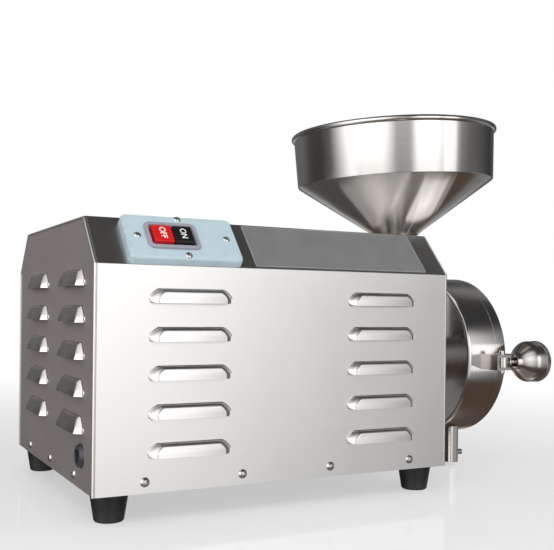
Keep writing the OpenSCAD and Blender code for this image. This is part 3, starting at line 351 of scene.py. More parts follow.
@dataclass(frozen=True)
class Stations:
    """Places that the casing, the mill and the clamp share, in millimetres."""

    casing_start: float = -286.3
    casing_end: float = 113.7
    half_depth: float = 166.0
    floor_gap: float = 28.0
    front_height: float = 212.0
    slope_set: float = 41.0
    slope_rise: float = 46.0
    panel_recess: float = 1.2
    shaft_height: float = 141.0
    drum_start: float = 199.7
    seam: float = 243.7
    door_start: float = 244.1
    door_face: float = 259.7
    clamp_y: float = -120.0
    clamp_height: float = 138.0
    knob_start: float = 252.4
    seat: Triple = (161.2, 0.0, 292.0)
    seat_lean: float = -3.2

    def wall(self, x: float, y: float, bearing: float) -> Matrix:
        """Returns the place of an upright wall: X along it as seen from outside, Y up, Z out of it."""
        return shift(x, y, self.floor_gap) @ turn(bearing, "Z") @ turn(90, "X")

    @property
    def front(self) -> Matrix:
        """The front wall."""
        return self.wall(self.casing_start, -self.half_depth, 0)

    @property
    def back(self) -> Matrix:
        """The back wall."""
        return self.wall(self.casing_end, self.half_depth, 180)

    @property
    def motor_end(self) -> Matrix:
        """The motor end panel, X from back to front."""
        return self.wall(self.casing_start + self.panel_recess, self.half_depth, -90)

    @property
    def mill_end(self) -> Matrix:
        """The mill end panel, X from front to back."""
        return self.wall(self.casing_end - self.panel_recess, -self.half_depth, 90)

    @property
    def slope(self) -> Matrix:
        """The front slope: X along the casing, Y up the slope, Z out of it."""
        angle = math.degrees(math.atan2(self.slope_rise, self.slope_set))
        bend = self.floor_gap + self.front_height
        return shift(self.casing_start, -self.half_depth, bend) @ turn(angle, "X")

    @property
    def slope_length(self) -> float:
        """The length of the slope from bend to bend."""
        return math.hypot(self.slope_rise, self.slope_set)

    @property
    def hopper(self) -> Matrix:
        """The leaning hopper seat."""
        return shift(*self.seat) @ turn(self.seat_lean, "Y")

    def along_x(self, x: float, y: float, z: float) -> Matrix:
        """Returns a place whose own Z runs along X."""
        return shift(x, y, z) @ turn(90, "Y")


AT = Stations()

SHEET = BrushedSteel("stainless_sheet_brushed", "#dedcda", 0.33, grain=Grain.ALONG_X, dark="#d5d3d1",
                     line_mm=0.7, depth=0.02, spread=0.025)
END_SHEET = BrushedSteel("stainless_end_sheet_brushed", "#ded6d4", 0.55, grain=Grain.ALONG_Y,
                         dark="#d4ccca", line_mm=0.7, depth=0.02, spread=0.025)
END_PRESSED = BrushedSteel("stainless_end_louvre_pressed", "#ded6d4", 0.27, grain=Grain.ALONG_Y,
                           dark="#d8d0ce", line_mm=0.7, depth=0.004, spread=0.01)
SPUN = BrushedSteel("stainless_spun_polished", "#dcd9d6", 0.2, grain=Grain.ROUND_Z, dark="#d0cdca",
                    line_mm=1.6, anisotropic=0.9, spread=0.02, lean=math.radians(AT.seat_lean),
                    depth=0.02, centre=tuple(v * MM for v in AT.seat))
TURNED = BrushedSteel("stainless_drum_turned", "#d8d5d3", 0.17, grain=Grain.ROUND_X, dark="#cac6c3",
                      line_mm=1.4, anisotropic=0.4, depth=0.03, spread=0.03,
                      centre=(0.0, 0.0, AT.shaft_height * MM))
KNOB_STEEL = BrushedSteel("stainless_knob_turned", "#d2cecb", 0.24, grain=Grain.ROUND_X, dark="#bfbab6",
                          line_mm=1.0, anisotropic=0.5, depth=0.03,
                          centre=(0.0, AT.clamp_y * MM, AT.clamp_height * MM))
FITTING = BrushedSteel("stainless_fitting_satin", "#d2cecb", 0.2, grain=Grain.ALONG_X, dark="#bbb6b2",
                       run_mm=25.0)
GROUND_STEEL = BrushedSteel("tool_steel_ground", "#aaa8a6", 0.28, grain=Grain.ROUND_X, dark="#8f8c89",
                            centre=(0.0, 0.0, AT.shaft_height * MM))
ZINC = PlatedSteel("zinc_plated_screws", "#dadad9", 0.3, dark="#c4c5c5", crystal_mm=1.5)
GALVANISED = PlatedSteel("galvanised_sheet", "#b4b8ba", 0.42, crystal_mm=7.0)
RUBBER = MouldedRubber("rubber_black_moulded", "#161619", 0.46)
SLEEVE = MouldedPlastic("pvc_dark_grey_moulded", "#45464b", 0.28, dark="#3b3c41", cloud_mm=6.0)
PALE_BLUE = MouldedPlastic("abs_pale_blue_moulded", "#bfd2da", 0.3, dark="#b8ccd5")
LILAC = MouldedPlastic("abs_grey_lilac_moulded", "#a3a1ad", 0.38, dark="#9896a2")
RED = MouldedPlastic("abs_red_moulded", "#df1418", 0.3, dark="#cf0f14", grain_mm=0.5, depth=0.04)
BLACK = MouldedPlastic("abs_black_moulded", "#1f2024", 0.3, dark="#17181b", grain_mm=0.5, depth=0.04)
WHITE_INK = MouldedPlastic("white_printing_ink", "#f2f1ee", 0.5, dark="#e4e3df", cloud_mm=3.0)
# A pale line along the rating plate's edge: a painted highlight.
PLATE_EDGE_HIGHLIGHT = MouldedPlastic("plate_cut_edge", "#bdbdbc", 0.4, dark="#b2b2b1", cloud_mm=3.0)
PHENOLIC = MouldedPlastic("phenolic_dark_moulded", "#2c2c30", 0.45, dark="#232326")
PLATE_INK = MouldedPlastic("printed_plate_grey", "#7c7c7c", 0.42, dark="#747474", grain_mm=0.4, depth=0.03)
ENAMEL = EnamelledCasting("enamel_grey_blue", "#6f7d86", 0.42)
LAMINATION = LayeredMetal("electrical_steel_laminations", "#9a9c9e", 0.42, dark="#6f7173")
COPPER = LayeredMetal("copper_wire_enamelled", "#b06a33", 0.35)
CAN = BrushedSteel("aluminium_can_drawn", "#cfd0d0", 0.34, grain=Grain.ALONG_X, dark="#bcbdbd")

NODE_FINISH: dict[Finish, tuple[str, ...]] = {
    SHEET: ("casing_wrap", "end_panel_mill"),
    END_SHEET: ("end_panel_motor",),
    SPUN: ("hopper_bowl", "hopper_cone", "hopper_spout"),
    TURNED: ("chamber_body", "door_dish", "feed_housing", "disc_nut"),
    KNOB_STEEL: ("clamp_knob", "clamp_screw"),
    FITTING: ("latch_bracket", "clamp_trunnion", "hinge_bracket", "hinge_pin", "door_hinge_arm",
              "door_fork", "outlet_chute", "feed_bolts", "chamber_bolts"),
    GROUND_STEEL: ("motor_shaft", "feed_auger", "toothed_disc", "disc_teeth", "fixed_ring", "fixed_teeth",
                   "ring_sieve", "bearing_rear", "bearing_front"),
    ZINC: ("bag_studs", "casing_screws", "foot_screws", "switch_plate_screws", "motor_bolts",
           "capacitor_clip"),
    GALVANISED: ("base_tray", "motor_rails"),
    RUBBER: ("foot_front_left", "foot_front_right", "foot_back_left", "foot_back_right", "shaft_seal",
             "door_seal"),
    SLEEVE: ("cable_grommet",),
    PALE_BLUE: ("switch_plate",),
    LILAC: ("switch_bezel",),
    RED: ("button_off",),
    BLACK: ("button_on",),
    PHENOLIC: ("switch_body", "cooling_fan", "motor_fan_cover"),
    PLATE_INK: ("rating_plate",),
    ENAMEL: ("motor_shell", "motor_shield_rear", "motor_shield_front"),
    LAMINATION: ("stator_core", "rotor_core"),
    COPPER: ("stator_windings",),
    CAN: ("capacitor",),
}


def put(name: str, data: bpy.types.ID) -> Object:
    """Puts a new object into the scene.

    Args:
        name: Name of the object.
        data: Its mesh, curve, lamp or camera.

    Returns:
        The object.
    """
    made = bpy.data.objects.new(name, data)
    bpy.context.scene.collection.objects.link(made)
    return made


def piece(name: str, mesh: Mesh, finish: Finish, body: str, slot: str | None, *nodes: str,
          place: Matrix | None = None, smooth: float = 35.0) -> None:
    """Makes a piece from a mesh in millimetres: placed, in metres, shaded, finished and on its body.

    Args:
        name: Name of the piece.
        mesh: Its mesh.
        finish: Its finish.
        body: The body that carries it.
        slot: Not used.
        *nodes: The nodes that it replaces.
        place: Its place in the machine.
        smooth: Edges sharper than this many degrees stay sharp.
    """
    mesh.transform(Matrix.Scale(MM, 4) @ (place or Matrix.Identity(4)))
    mesh.shade_smooth()
    mesh.set_sharp_from_angle(angle=math.radians(smooth))
    mesh.materials.clear()
    mesh.materials.append(finish.material())
    mesh.name = name
    made = put(name, mesh)
    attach(made, body)
    if nodes:
        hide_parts(*nodes)
    LOG.info("%s rides on %s with %d faces", name, body, len(mesh.polygons))


def to_mesh(work: bmesh.types.BMesh, name: str, merge: bool = True) -> Mesh:
    """Turns a bmesh into a mesh and frees it.

    Args:
        work: The bmesh.
        name: Name of the mesh.
        merge: Whether to merge doubles and turn the faces outwards.

    Returns:
        The mesh.
    """
    if merge:
        bmesh.ops.remove_doubles(work, verts=work.verts, dist=WELD)
        bmesh.ops.recalc_face_normals(work, faces=work.faces)
    mesh = bpy.data.meshes.new(name)
    work.to_mesh(mesh)
    work.free()
    return mesh


def plain(holder: Object) -> Mesh:
    """Returns an object's final shape as a plain mesh and removes the object.

    Args:
        holder: The object.
    """
    bpy.context.view_layer.update()
    mesh = bpy.data.meshes.new_from_object(holder.evaluated_get(bpy.context.evaluated_depsgraph_get()))
    bpy.data.objects.remove(holder)
    return mesh


def modified(mesh: Mesh, kind: str, **settings) -> Mesh:
    """Runs a modifier on a mesh.

    Args:
        mesh: The mesh to start from.
        kind: The modifier's type.
        **settings: Its settings, and the inputs of its node tree as Socket_number.

    Returns:
        A new mesh.
    """
    holder = put("work", mesh)
    made = holder.modifiers.new(kind, kind)
    for key, value in settings.items():
        if key.startswith("Socket_"):
            made[key] = value
        else:
            setattr(made, key, value)
    return plain(holder)


def cut(mesh: Mesh, *boxes: tuple[Triple, Triple]) -> Mesh:
    """Cuts boxes out of a mesh.

    Args:
        mesh: The mesh.
        *boxes: Middle and size of each box.

    Returns:
        A new mesh.
    """
    work = bmesh.new()
    for middle, size in boxes:
        bmesh.ops.create_cube(work, size=1.0, matrix=shift(*middle) @ Matrix.Diagonal((*size, 1)))
    tool = put("cut", to_mesh(work, "cut", merge=False))
    made = modified(mesh, "BOOLEAN", object=tool, operation="DIFFERENCE", solver="EXACT",
                    use_self=len(boxes) > 1)
    bpy.data.objects.remove(tool)
    return made


def loft(name: str, loops: list[list[Vector]], caps: bool = False, ring: bool = False) -> Mesh:
    """Joins closed loops of equal length with quads.

    Args:
        name: Name of the mesh.
        loops: The loops, in order.
        caps: Whether the first and the last loop are filled.
        ring: Whether the last loop joins the first.

    Returns:
        The mesh.
    """
    work = bmesh.new()
    made = [[work.verts.new(p) for p in loop] for loop in loops]
    for a, b in zip(made, made[1:] + (made[:1] if ring else [])):
        for k in range(len(a)):
            n = (k + 1) % len(a)
            work.faces.new((a[k], a[n], b[n], b[k]))
    if caps:
        work.faces.new(list(reversed(made[0])))
        work.faces.new(made[-1])
    return to_mesh(work, name)


def lathe(name: str, profile: list[Point], steps: int = 192) -> Mesh:
    """Turns a closed profile about Z."""
    turns = [(math.cos(math.tau * k / steps), math.sin(math.tau * k / steps)) for k in range(steps)]
    return loft(name, [[Vector((r * c, r * s, z)) for c, s in turns] for r, z in profile], ring=True)


def arc(x: float, y: float, r: float, start: float, end: float, steps: int = 6) -> list[Point]:
    """Returns points on an arc."""
    angles = [math.radians(start + (end - start) * k / steps) for k in range(steps + 1)]
    return [(x + r * math.cos(a), y + r * math.sin(a)) for a in angles]


def rounded(w: float, h: float, r: float, z: float, aside: float = 0.0, steps: int = 6) -> list[Vector]:
    """Returns a level rectangle with round corners about the Z axis.

    Args:
        w: Width.
        h: Height.
        r: Corner radius.
        z: Its level.
        aside: Distance of its middle from the axis, along X.
        steps: Steps in each corner.
    """
    corners = ((w / 2 - r, h / 2 - r, 0), (r - w / 2, h / 2 - r, 90), (r - w / 2, r - h / 2, 180),
               (w / 2 - r, r - h / 2, 270))
    return [Vector((px + aside, py, z)) for x, y, a in corners
            for px, py in arc(x, y, max(r, 0.01), a, a + 90, steps)]


def moulding(name: str, w: float, h: float, r: float, least: float, section: list[Point], steps: int = 6,
             **how: bool) -> Mesh:
    """Carries a section round a rectangle with round corners.

    Args:
        name: Name of the mesh.
        w: Width of the rectangle.
        h: Height of the rectangle.
        r: Its corner radius.
        least: The least corner radius inside it.
        section: Distance inwards and level of each corner of the section.
        steps: Steps in each corner.
        **how: How the loops are closed, as loft takes it.

    Returns:
        The mesh.
    """
    return loft(name, [rounded(w - 2 * d, h - 2 * d, max(r - d, least), z, steps=steps)
                       for d, z in section], **how)


def repeater(name: str, inputs: dict[str, str], points: Callable) -> NodeTree:
    """Returns the tree that repeats its geometry on points and builds it on first use.

    Args:
        name: Name of the tree.
        inputs: Label and kind of each input besides the geometry and its finish.
        points: Takes the tree and its inputs, and returns the points and the turn about Z at each.
    """
    if name in bpy.data.node_groups:
        return bpy.data.node_groups[name]
    tree = bpy.data.node_groups.new(name, "GeometryNodeTree")
    for label, kind in (("Geometry", "Geometry"), *inputs.items(), ("Finish", "Material")):
        tree.interface.new_socket(label, in_out="INPUT", socket_type=f"NodeSocket{kind}")
    tree.interface.new_socket("Geometry", in_out="OUTPUT", socket_type="NodeSocketGeometry")
    given = add(tree, "NodeGroupInput").outputs
    spots, turns = points(tree, given)
    about = add(tree, "ShaderNodeCombineXYZ", {"Z": turns}).outputs[0]
    copies = add(tree, "GeometryNodeInstanceOnPoints",
                 {"Points": spots, "Instance": given["Geometry"], "Rotation": about})
    solid = add(tree, "GeometryNodeRealizeInstances", {0: copies.outputs[0]})
    dressed = add(tree, "GeometryNodeSetMaterial",
                  {"Geometry": solid.outputs[0], "Material": given["Finish"]})
    add(tree, "NodeGroupOutput", {0: dressed.outputs[0]})
    return tree


def grid_points(tree: NodeTree, given: bpy.types.bpy_prop_collection) -> tuple[NodeSocket, NodeSocket]:
    """Returns points in rows and columns, and a turn by chance at each.

    Args:
        tree: The tree.
        given: Its inputs.
    """
    lines = []
    for axis, count, pitch in (("X", "Columns", "Column pitch"), ("Y", "Rows", "Row pitch")):
        step = add(tree, "ShaderNodeCombineXYZ", {axis: given[pitch]}).outputs[0]
        lines.append(add(tree, "GeometryNodeMeshLine", {"Count": given[count], "Offset": step},
                         mode="OFFSET").outputs[0])
    grid = add(tree, "GeometryNodeInstanceOnPoints", {"Points": lines[0], "Instance": lines[1]})
    points = add(tree, "GeometryNodeRealizeInstances", {0: grid.outputs[0]})
    chance = add(tree, "FunctionNodeRandomValue", {3: given["Largest turn"], "Seed": given["Seed"]},
                 data_type="FLOAT")
    return points.outputs[0], chance.outputs[1]


def circle_points(tree: NodeTree, given: bpy.types.bpy_prop_collection) -> tuple[NodeSocket, NodeSocket]:
    """Returns points on a circle about Z, and the turn that faces each outwards.

    Args:
        tree: The tree.
        given: Its inputs.
    """
    ring = add(tree, "GeometryNodeMeshCircle", {"Vertices": given["Count"], "Radius": given["Radius"]})
    share = calc(tree, "DIVIDE", add(tree, "GeometryNodeInputIndex").outputs[0], given["Count"])
    return ring.outputs[0], calc(tree, "MULTIPLY", share, math.tau)


def in_rows(mesh: Mesh, finish: Finish, place: Matrix, columns: int, rows: int, pitch: Point,
            largest_turn: float = 0.0, seed: int = 1) -> Mesh:
    """Repeats a mesh in rows and columns.

    Args:
        mesh: The mesh of one piece.
        finish: Its finish.
        place: Place of the first one.
        columns: Number of columns.
        rows: Number of rows.
        pitch: Distance between columns and between rows.
        largest_turn: Largest turn by chance about its own Z.
        seed: Seed of these turns.

    Returns:
        The mesh of all the pieces.
    """
    tree = repeater("repeat_in_rows", {"Columns": "Int", "Rows": "Int", "Column pitch": "Float",
                                       "Row pitch": "Float", "Largest turn": "Float", "Seed": "Int"},
                    grid_points)
    return moved(spread(mesh, tree, columns, rows, *pitch, largest_turn, seed, finish.material()), place)


def spread(mesh: Mesh, tree: NodeTree, *values) -> Mesh:
    """Repeats a mesh with a tree."""
    keys = [item.identifier for item in tree.interface.items_tree if item.in_out == "INPUT"][1:]
    return modified(mesh, "NODES", node_group=tree, **dict(zip(keys, values)))


def joined(*meshes: Mesh) -> Mesh:
    """Returns one mesh that holds all the given ones."""
    work = bmesh.new()
    for mesh in meshes:
        work.from_mesh(mesh)
    return to_mesh(work, "joined", merge=False)


def moved(mesh: Mesh, place: Matrix) -> Mesh:
    """Returns the mesh after moving it to a place."""
    mesh.transform(place)
    return mesh


@dataclass
class Screws:
    """Pan-head screws with a cross recess."""

    head: float = 4.6
    height: float = 2.6
    slot: float = 0.9
    slot_reach: float = 2.7
    slot_depth: float = 1.7
    sunk: float = 0.4
    axis_r: float = 0.01
    rings: int = 9

    def one(self) -> Mesh:
        """Returns one screw head on the plane Z = 0."""
        dome = (self.head ** 2 + self.height ** 2) / (2 * self.height)
        profile = [(self.axis_r, -self.sunk), (self.head, -self.sunk), (self.head, 0.0)]
        for k in range(1, self.rings):
            r = self.head * math.cos(math.pi / 2 * k / self.rings)
            profile.append((r, math.sqrt(dome ** 2 - r ** 2) - dome + self.height))
        head = lathe("screw_head", [*profile, (self.axis_r, self.height)], steps=40)
        return cut(head, *(((0, 0, self.height), (2 * x, 2 * y, 2 * self.slot_depth)) for x, y in (
            (self.slot_reach, self.slot / 2), (self.slot / 2, self.slot_reach))))

    def row(self, count: int, pitch: float, place: Matrix, seed: int) -> Mesh:
        """Returns a row of screws, each turned by chance."""
        return in_rows(self.one(), ZINC, place, count, 1, (pitch, 0.0), math.tau, seed)


@dataclass
class Louvres:
    """Pressed louvre hoods, open at the lower edge, in two columns."""

    length: float = 83.5
    height: float = 12.7
    out: float = 8.0
    crown: float = 3.5
    corner: float = 9.5
    shoulder: float = 8.5
    bevel: float = 0.6
    toe: float = 3.5
    pitch: float = 36.0
    rows: int = 5
    tilt: float = 0.06
    sheet: float = 1.2
    end_ease: float = 0.45
    top_ease: float = 1.1
    least_curve: float = 1.0
    opening_inset: float = 0.2
    lip: float = 2.0
    flange: tuple[Triple, ...] = ((-0.05, -0.1, 0.9), (-0.35, -0.4, 0.36), (-1.0, -1.0, 0.03))

    def outline(self, inset: float, drop: float, out: float) -> list[Vector]:
        """Returns one level of a hood, from its lower left corner over the top to the lower right one.

        Args:
            inset: How far the ends lie inside the hood's outline.
            drop: How far the top lies below it.
            out: Reach of the level out of the panel.
        """
        wide = max(self.corner - self.end_ease * max(inset, 0.0), self.least_curve)
        high = max(self.shoulder - self.top_ease * max(drop, 0.0), self.least_curve)
        low, curve = self.height - drop - high, 1 - self.bevel
        left = [(max(inset, self.toe * (1 - math.sin(a))), self.toe * (1 - math.cos(a))) for a in QUARTER]
        for a in QUARTER:
            straight = self.bevel * a / QUARTER[-1]
            left.append((inset + wide * (straight + curve * (1 - math.cos(a))),
                         low + high * (straight + curve * math.sin(a))))
        right = [(self.length - x, y) for x, y in reversed(left)]
        return [Vector((x, y, out - self.tilt * y * out / self.out)) for x, y in left + right]

    def hood(self) -> Mesh:
        """Returns one hood with its lower left corner at the origin and the panel at Z = 0."""
        loops = []
        for a in (math.radians(d) for d in range(90, 5, -7)):
            out = self.out * math.sin(a)
            over = max(out - self.out + self.crown, 0.0) / self.crown
            drop = self.crown * (1 - math.sqrt(max(1 - over ** 2, 0.0)))
            inset = self.bevel * out + (1 - self.bevel) * self.out * (1 - math.cos(a))
            loops.append(self.outline(inset, drop, out))
        loops += [self.outline(*level) for level in self.flange]
        work = bmesh.new()
        made = [[work.verts.new(p) for p in loop] for loop in loops]
        for a, b in zip(made, made[1:]):
            for k in range(len(a) - 1):
                work.faces.new((a[k], a[k + 1], b[k + 1], b[k]))
        face = made[0]
        for k in range(len(face) // 2 - 1):
            work.faces.new((face[k], face[-1 - k], face[-2 - k], face[k + 1]))
        bmesh.ops.remove_doubles(work, verts=work.verts, dist=WELD)
        bmesh.ops.recalc_face_normals(work, faces=work.faces)
        if sum(f.normal.z * f.calc_area() for f in work.faces) < 0:
            bmesh.ops.reverse_faces(work, faces=work.faces)
        return modified(to_mesh(work, "hood", merge=False), "SOLIDIFY", thickness=self.sheet, offset=-1.0)

    def columns(self, gap: float, place: Matrix, finish: Finish) -> Mesh:
        """Returns two columns of hoods."""
        return in_rows(self.hood(), finish, place, 2, self.rows, (gap, self.pitch))

    def openings(self, x: float, gap: float, low: float) -> list[tuple[float, float, float, float]]:
        """Returns the openings behind the hoods as lowest and highest X and Y on the wall."""
        end, high = self.corner + self.opening_inset, self.height - self.lip
        return [(x + c * gap + end, x + c * gap + self.length - end, low + i * self.pitch,
                 low + i * self.pitch + high) for c in range(2) for i in range(self.rows)]


@dataclass
class Casing:
    """The bent wrap with its louvres, the motor end panel and the screws along the lower edge."""

    front_louvres: Louvres = field(default_factory=Louvres)
    end_louvres: Louvres = field(default_factory=partial(
        Louvres, height=15.2, pitch=34.8, shoulder=11.0, bevel=0.9, toe=1.2, tilt=0.27))
    sheet: float = 1.4
    bend: float = 3.0
    bend_steps: int = 6
    hem: float = 2.4
    groove: float = 0.9
    groove_share: float = 0.7
    panel_gap: float = 0.2
    panel_foot: float = 0.3
    panel_slack: float = 1.0
    front_x: float = 52.5
    front_gap: float = 217.5
    front_low: float = 32.5
    end_y: float = 34.0
    end_gap: float = 147.0
    end_low: float = 53.0
    screw_inset: float = 50.0
    screw_pitch: float = 100.0
    screw_rise: float = 10.5
    end_screw_pitch: float = 99.0
    inlet: Point = (41.5, 32.0)
    inlet_r: float = 9.5
    window: tuple[float, float, float, float] = (56.0, 102.0, 15.85, 43.35)
    near: float = 0.01

    def build(self) -> None:
        """Builds and places the casing's pieces."""
        corner = shift(self.front_x, self.front_low)
        hoods = [self.front_louvres.columns(self.front_gap, wall @ corner, SHEET)
                 for wall in (AT.front, AT.back)]
        start = 2 * AT.half_depth - self.end_y - self.end_gap - self.end_louvres.length
        ends = self.end_louvres.columns(self.end_gap, AT.motor_end @ shift(start, self.end_low), END_PRESSED)
        piece("casing_sheet", self.wrap(), SHEET, "machine", "casing_sheet", "casing_wrap", smooth=40)
        piece("casing_louvres", joined(*hoods), SHEET, "machine", "casing_sheet", smooth=50)
        piece("motor_end_sheet", self.end_panel(start), END_SHEET, "machine", "casing_sheet",
              "end_panel_motor")
        piece("motor_end_louvres", ends, END_PRESSED, "machine", "casing_sheet", smooth=50)
        piece("casing_screw_heads", self.screws(), ZINC, "machine", "fasteners", "casing_screws")

    def stations(self) -> list[tuple[Vector, Vector]]:
        """Returns points of the wrap's outer section, each with its inward direction, in Y and Z."""
        hd, low, high = AT.half_depth, AT.floor_gap, AT.floor_gap + AT.front_height
        top = high + AT.slope_rise
        corners = [Vector(p) for p in ((-hd, low), (-hd, high), (AT.slope_set - hd, top),
                                       (hd - AT.slope_set, top), (hd, high), (hd, low))]
        sides = [b - a for a, b in zip(corners, corners[1:])]
        marks = sorted({v for box in self.front_louvres.openings(0, 0, self.front_low) for v in box[2:]})
        cuts = [marks, list(self.window[2:]), [], [], [sides[-1].length - m for m in reversed(marks)]]
        found: list[tuple[Vector, Vector]] = []
        start = 0.0
        for k, side in enumerate(sides):
            run = side.normalized()
            inward = Vector((run.y, -run.x))
            bend = run.angle(sides[k + 1]) if k + 1 < len(sides) else 0.0
            trim = self.bend * math.tan(bend / 2)
            end = side.length - trim
            found += [(corners[k] + run * s, inward) for s in (start, *cuts[k], end)]
            centre = corners[k] + run * end + inward * self.bend
            for j in range(1, self.bend_steps if bend else 1):
                way = Matrix.Rotation(-bend * j / self.bend_steps, 2) @ inward
                found.append((centre - way * self.bend, way))
            start = trim
        return found

    def wrap(self) -> Mesh:
        """Returns the bent sheet, with openings behind the louvres and hemmed ends."""
        rows = self.stations()
        front = self.front_louvres.openings(self.front_x, self.front_gap, self.front_low)
        long = AT.casing_end - AT.casing_start
        sides = {v for box in front for v in box[:2]}
        edges = sorted(sides | {long - v for v in sides} | set(self.window[:2]))
        hem = [(self.hem * (1 - math.sin(a)), self.hem * (1 - math.cos(a)))
               for a in (math.radians(d) for d in (90, 68, 45, 22, 0))]
        hem += [(self.hem + self.groove / 2, self.groove_share * self.groove), (self.hem + self.groove, 0.0)]
        columns = hem + [(v, 0.0) for v in edges] + [(long - v, g) for v, g in reversed(hem)]
        work = bmesh.new()
        grid = [[work.verts.new((AT.casing_start + x, *(base + way * g))) for base, way in rows]
                for x, g in columns]
        for i in range(len(columns) - 1):
            for j in range(len(rows) - 1):
                x = (columns[i][0] + columns[i + 1][0]) / 2
                if not self.open_at(x, (rows[j][0] + rows[j + 1][0]) / 2, front, long):
                    work.faces.new((grid[i][j], grid[i + 1][j], grid[i + 1][j + 1], grid[i][j + 1]))
        return modified(to_mesh(work, "wrap", merge=False), "SOLIDIFY", thickness=self.sheet, offset=-1.0)

    def open_at(self, x: float, spot: Vector, front: list, long: float) -> bool:
        """Tells whether a place of the wrap lies in an opening.

        Args:
            x: Distance from the motor end.
            spot: Y and Z of the place.
            front: Openings of the front wall.
            long: Length of the casing.
        """
        up = spot.y - AT.floor_gap
        for side, across in ((-1, x), (1, long - x)):
            if abs(spot.x - side * AT.half_depth) < self.near:
                return any(b[0] < across < b[1] and b[2] < up < b[3] for b in front)
        along = AT.slope.inverted() @ Vector((0, spot.x, spot.y))
        left, right, low, high = self.window
        return abs(along.z) < self.near and left < x < right and low < along.y < high

    def end_panel(self, start: float) -> Mesh:
        """Returns the motor end panel with its openings, as a flat cut sheet.

        Args:
            start: Start of the louvres from the back.
        """
        inset, foot, slack = self.hem - self.panel_gap, self.panel_foot, self.panel_slack
        deep, high, top = 2 * AT.half_depth, AT.front_height, AT.front_height + AT.slope_rise - inset
        outline = [(inset, foot), (deep - inset, foot), (deep - inset, high - slack),
                   (deep - AT.slope_set - slack, top), (AT.slope_set + slack, top), (inset, high - slack)]
        boxes = self.end_louvres.openings(start, self.end_gap, self.end_low)
        holes = [[(a, c), (b, c), (b, d), (a, d)] for a, b, c, d in boxes]
        holes.append(arc(deep - self.inlet[0], self.inlet[1], self.inlet_r, 0, 345, 23))
        curve = bpy.data.curves.new("end_panel", "CURVE")
        curve.dimensions = "2D"
        curve.fill_mode = "BOTH"
        curve.extrude = self.sheet / 2
        for points in (outline, *holes):
            spline = curve.splines.new("POLY")
            spline.points.add(len(points) - 1)
            for point, (x, y) in zip(spline.points, points):
                point.co = (x, y, 0.0, 1.0)
            spline.use_cyclic_u = True
        return moved(plain(put("end_panel", curve)), AT.motor_end @ shift(0, 0, -self.sheet / 2))

    def screws(self) -> Mesh:
        """Returns the heads of all the casing screws."""
        heads = Screws()
        first = shift(self.screw_inset, self.screw_rise)
        last = shift(AT.half_depth - self.end_screw_pitch, self.screw_rise)
        return joined(heads.row(4, self.screw_pitch, AT.front @ first, 3),
                      heads.row(4, self.screw_pitch, AT.back @ first, 5),
                      heads.row(3, self.end_screw_pitch, AT.motor_end @ last, 7),
                      heads.row(3, self.end_screw_pitch, AT.mill_end @ last, 11))


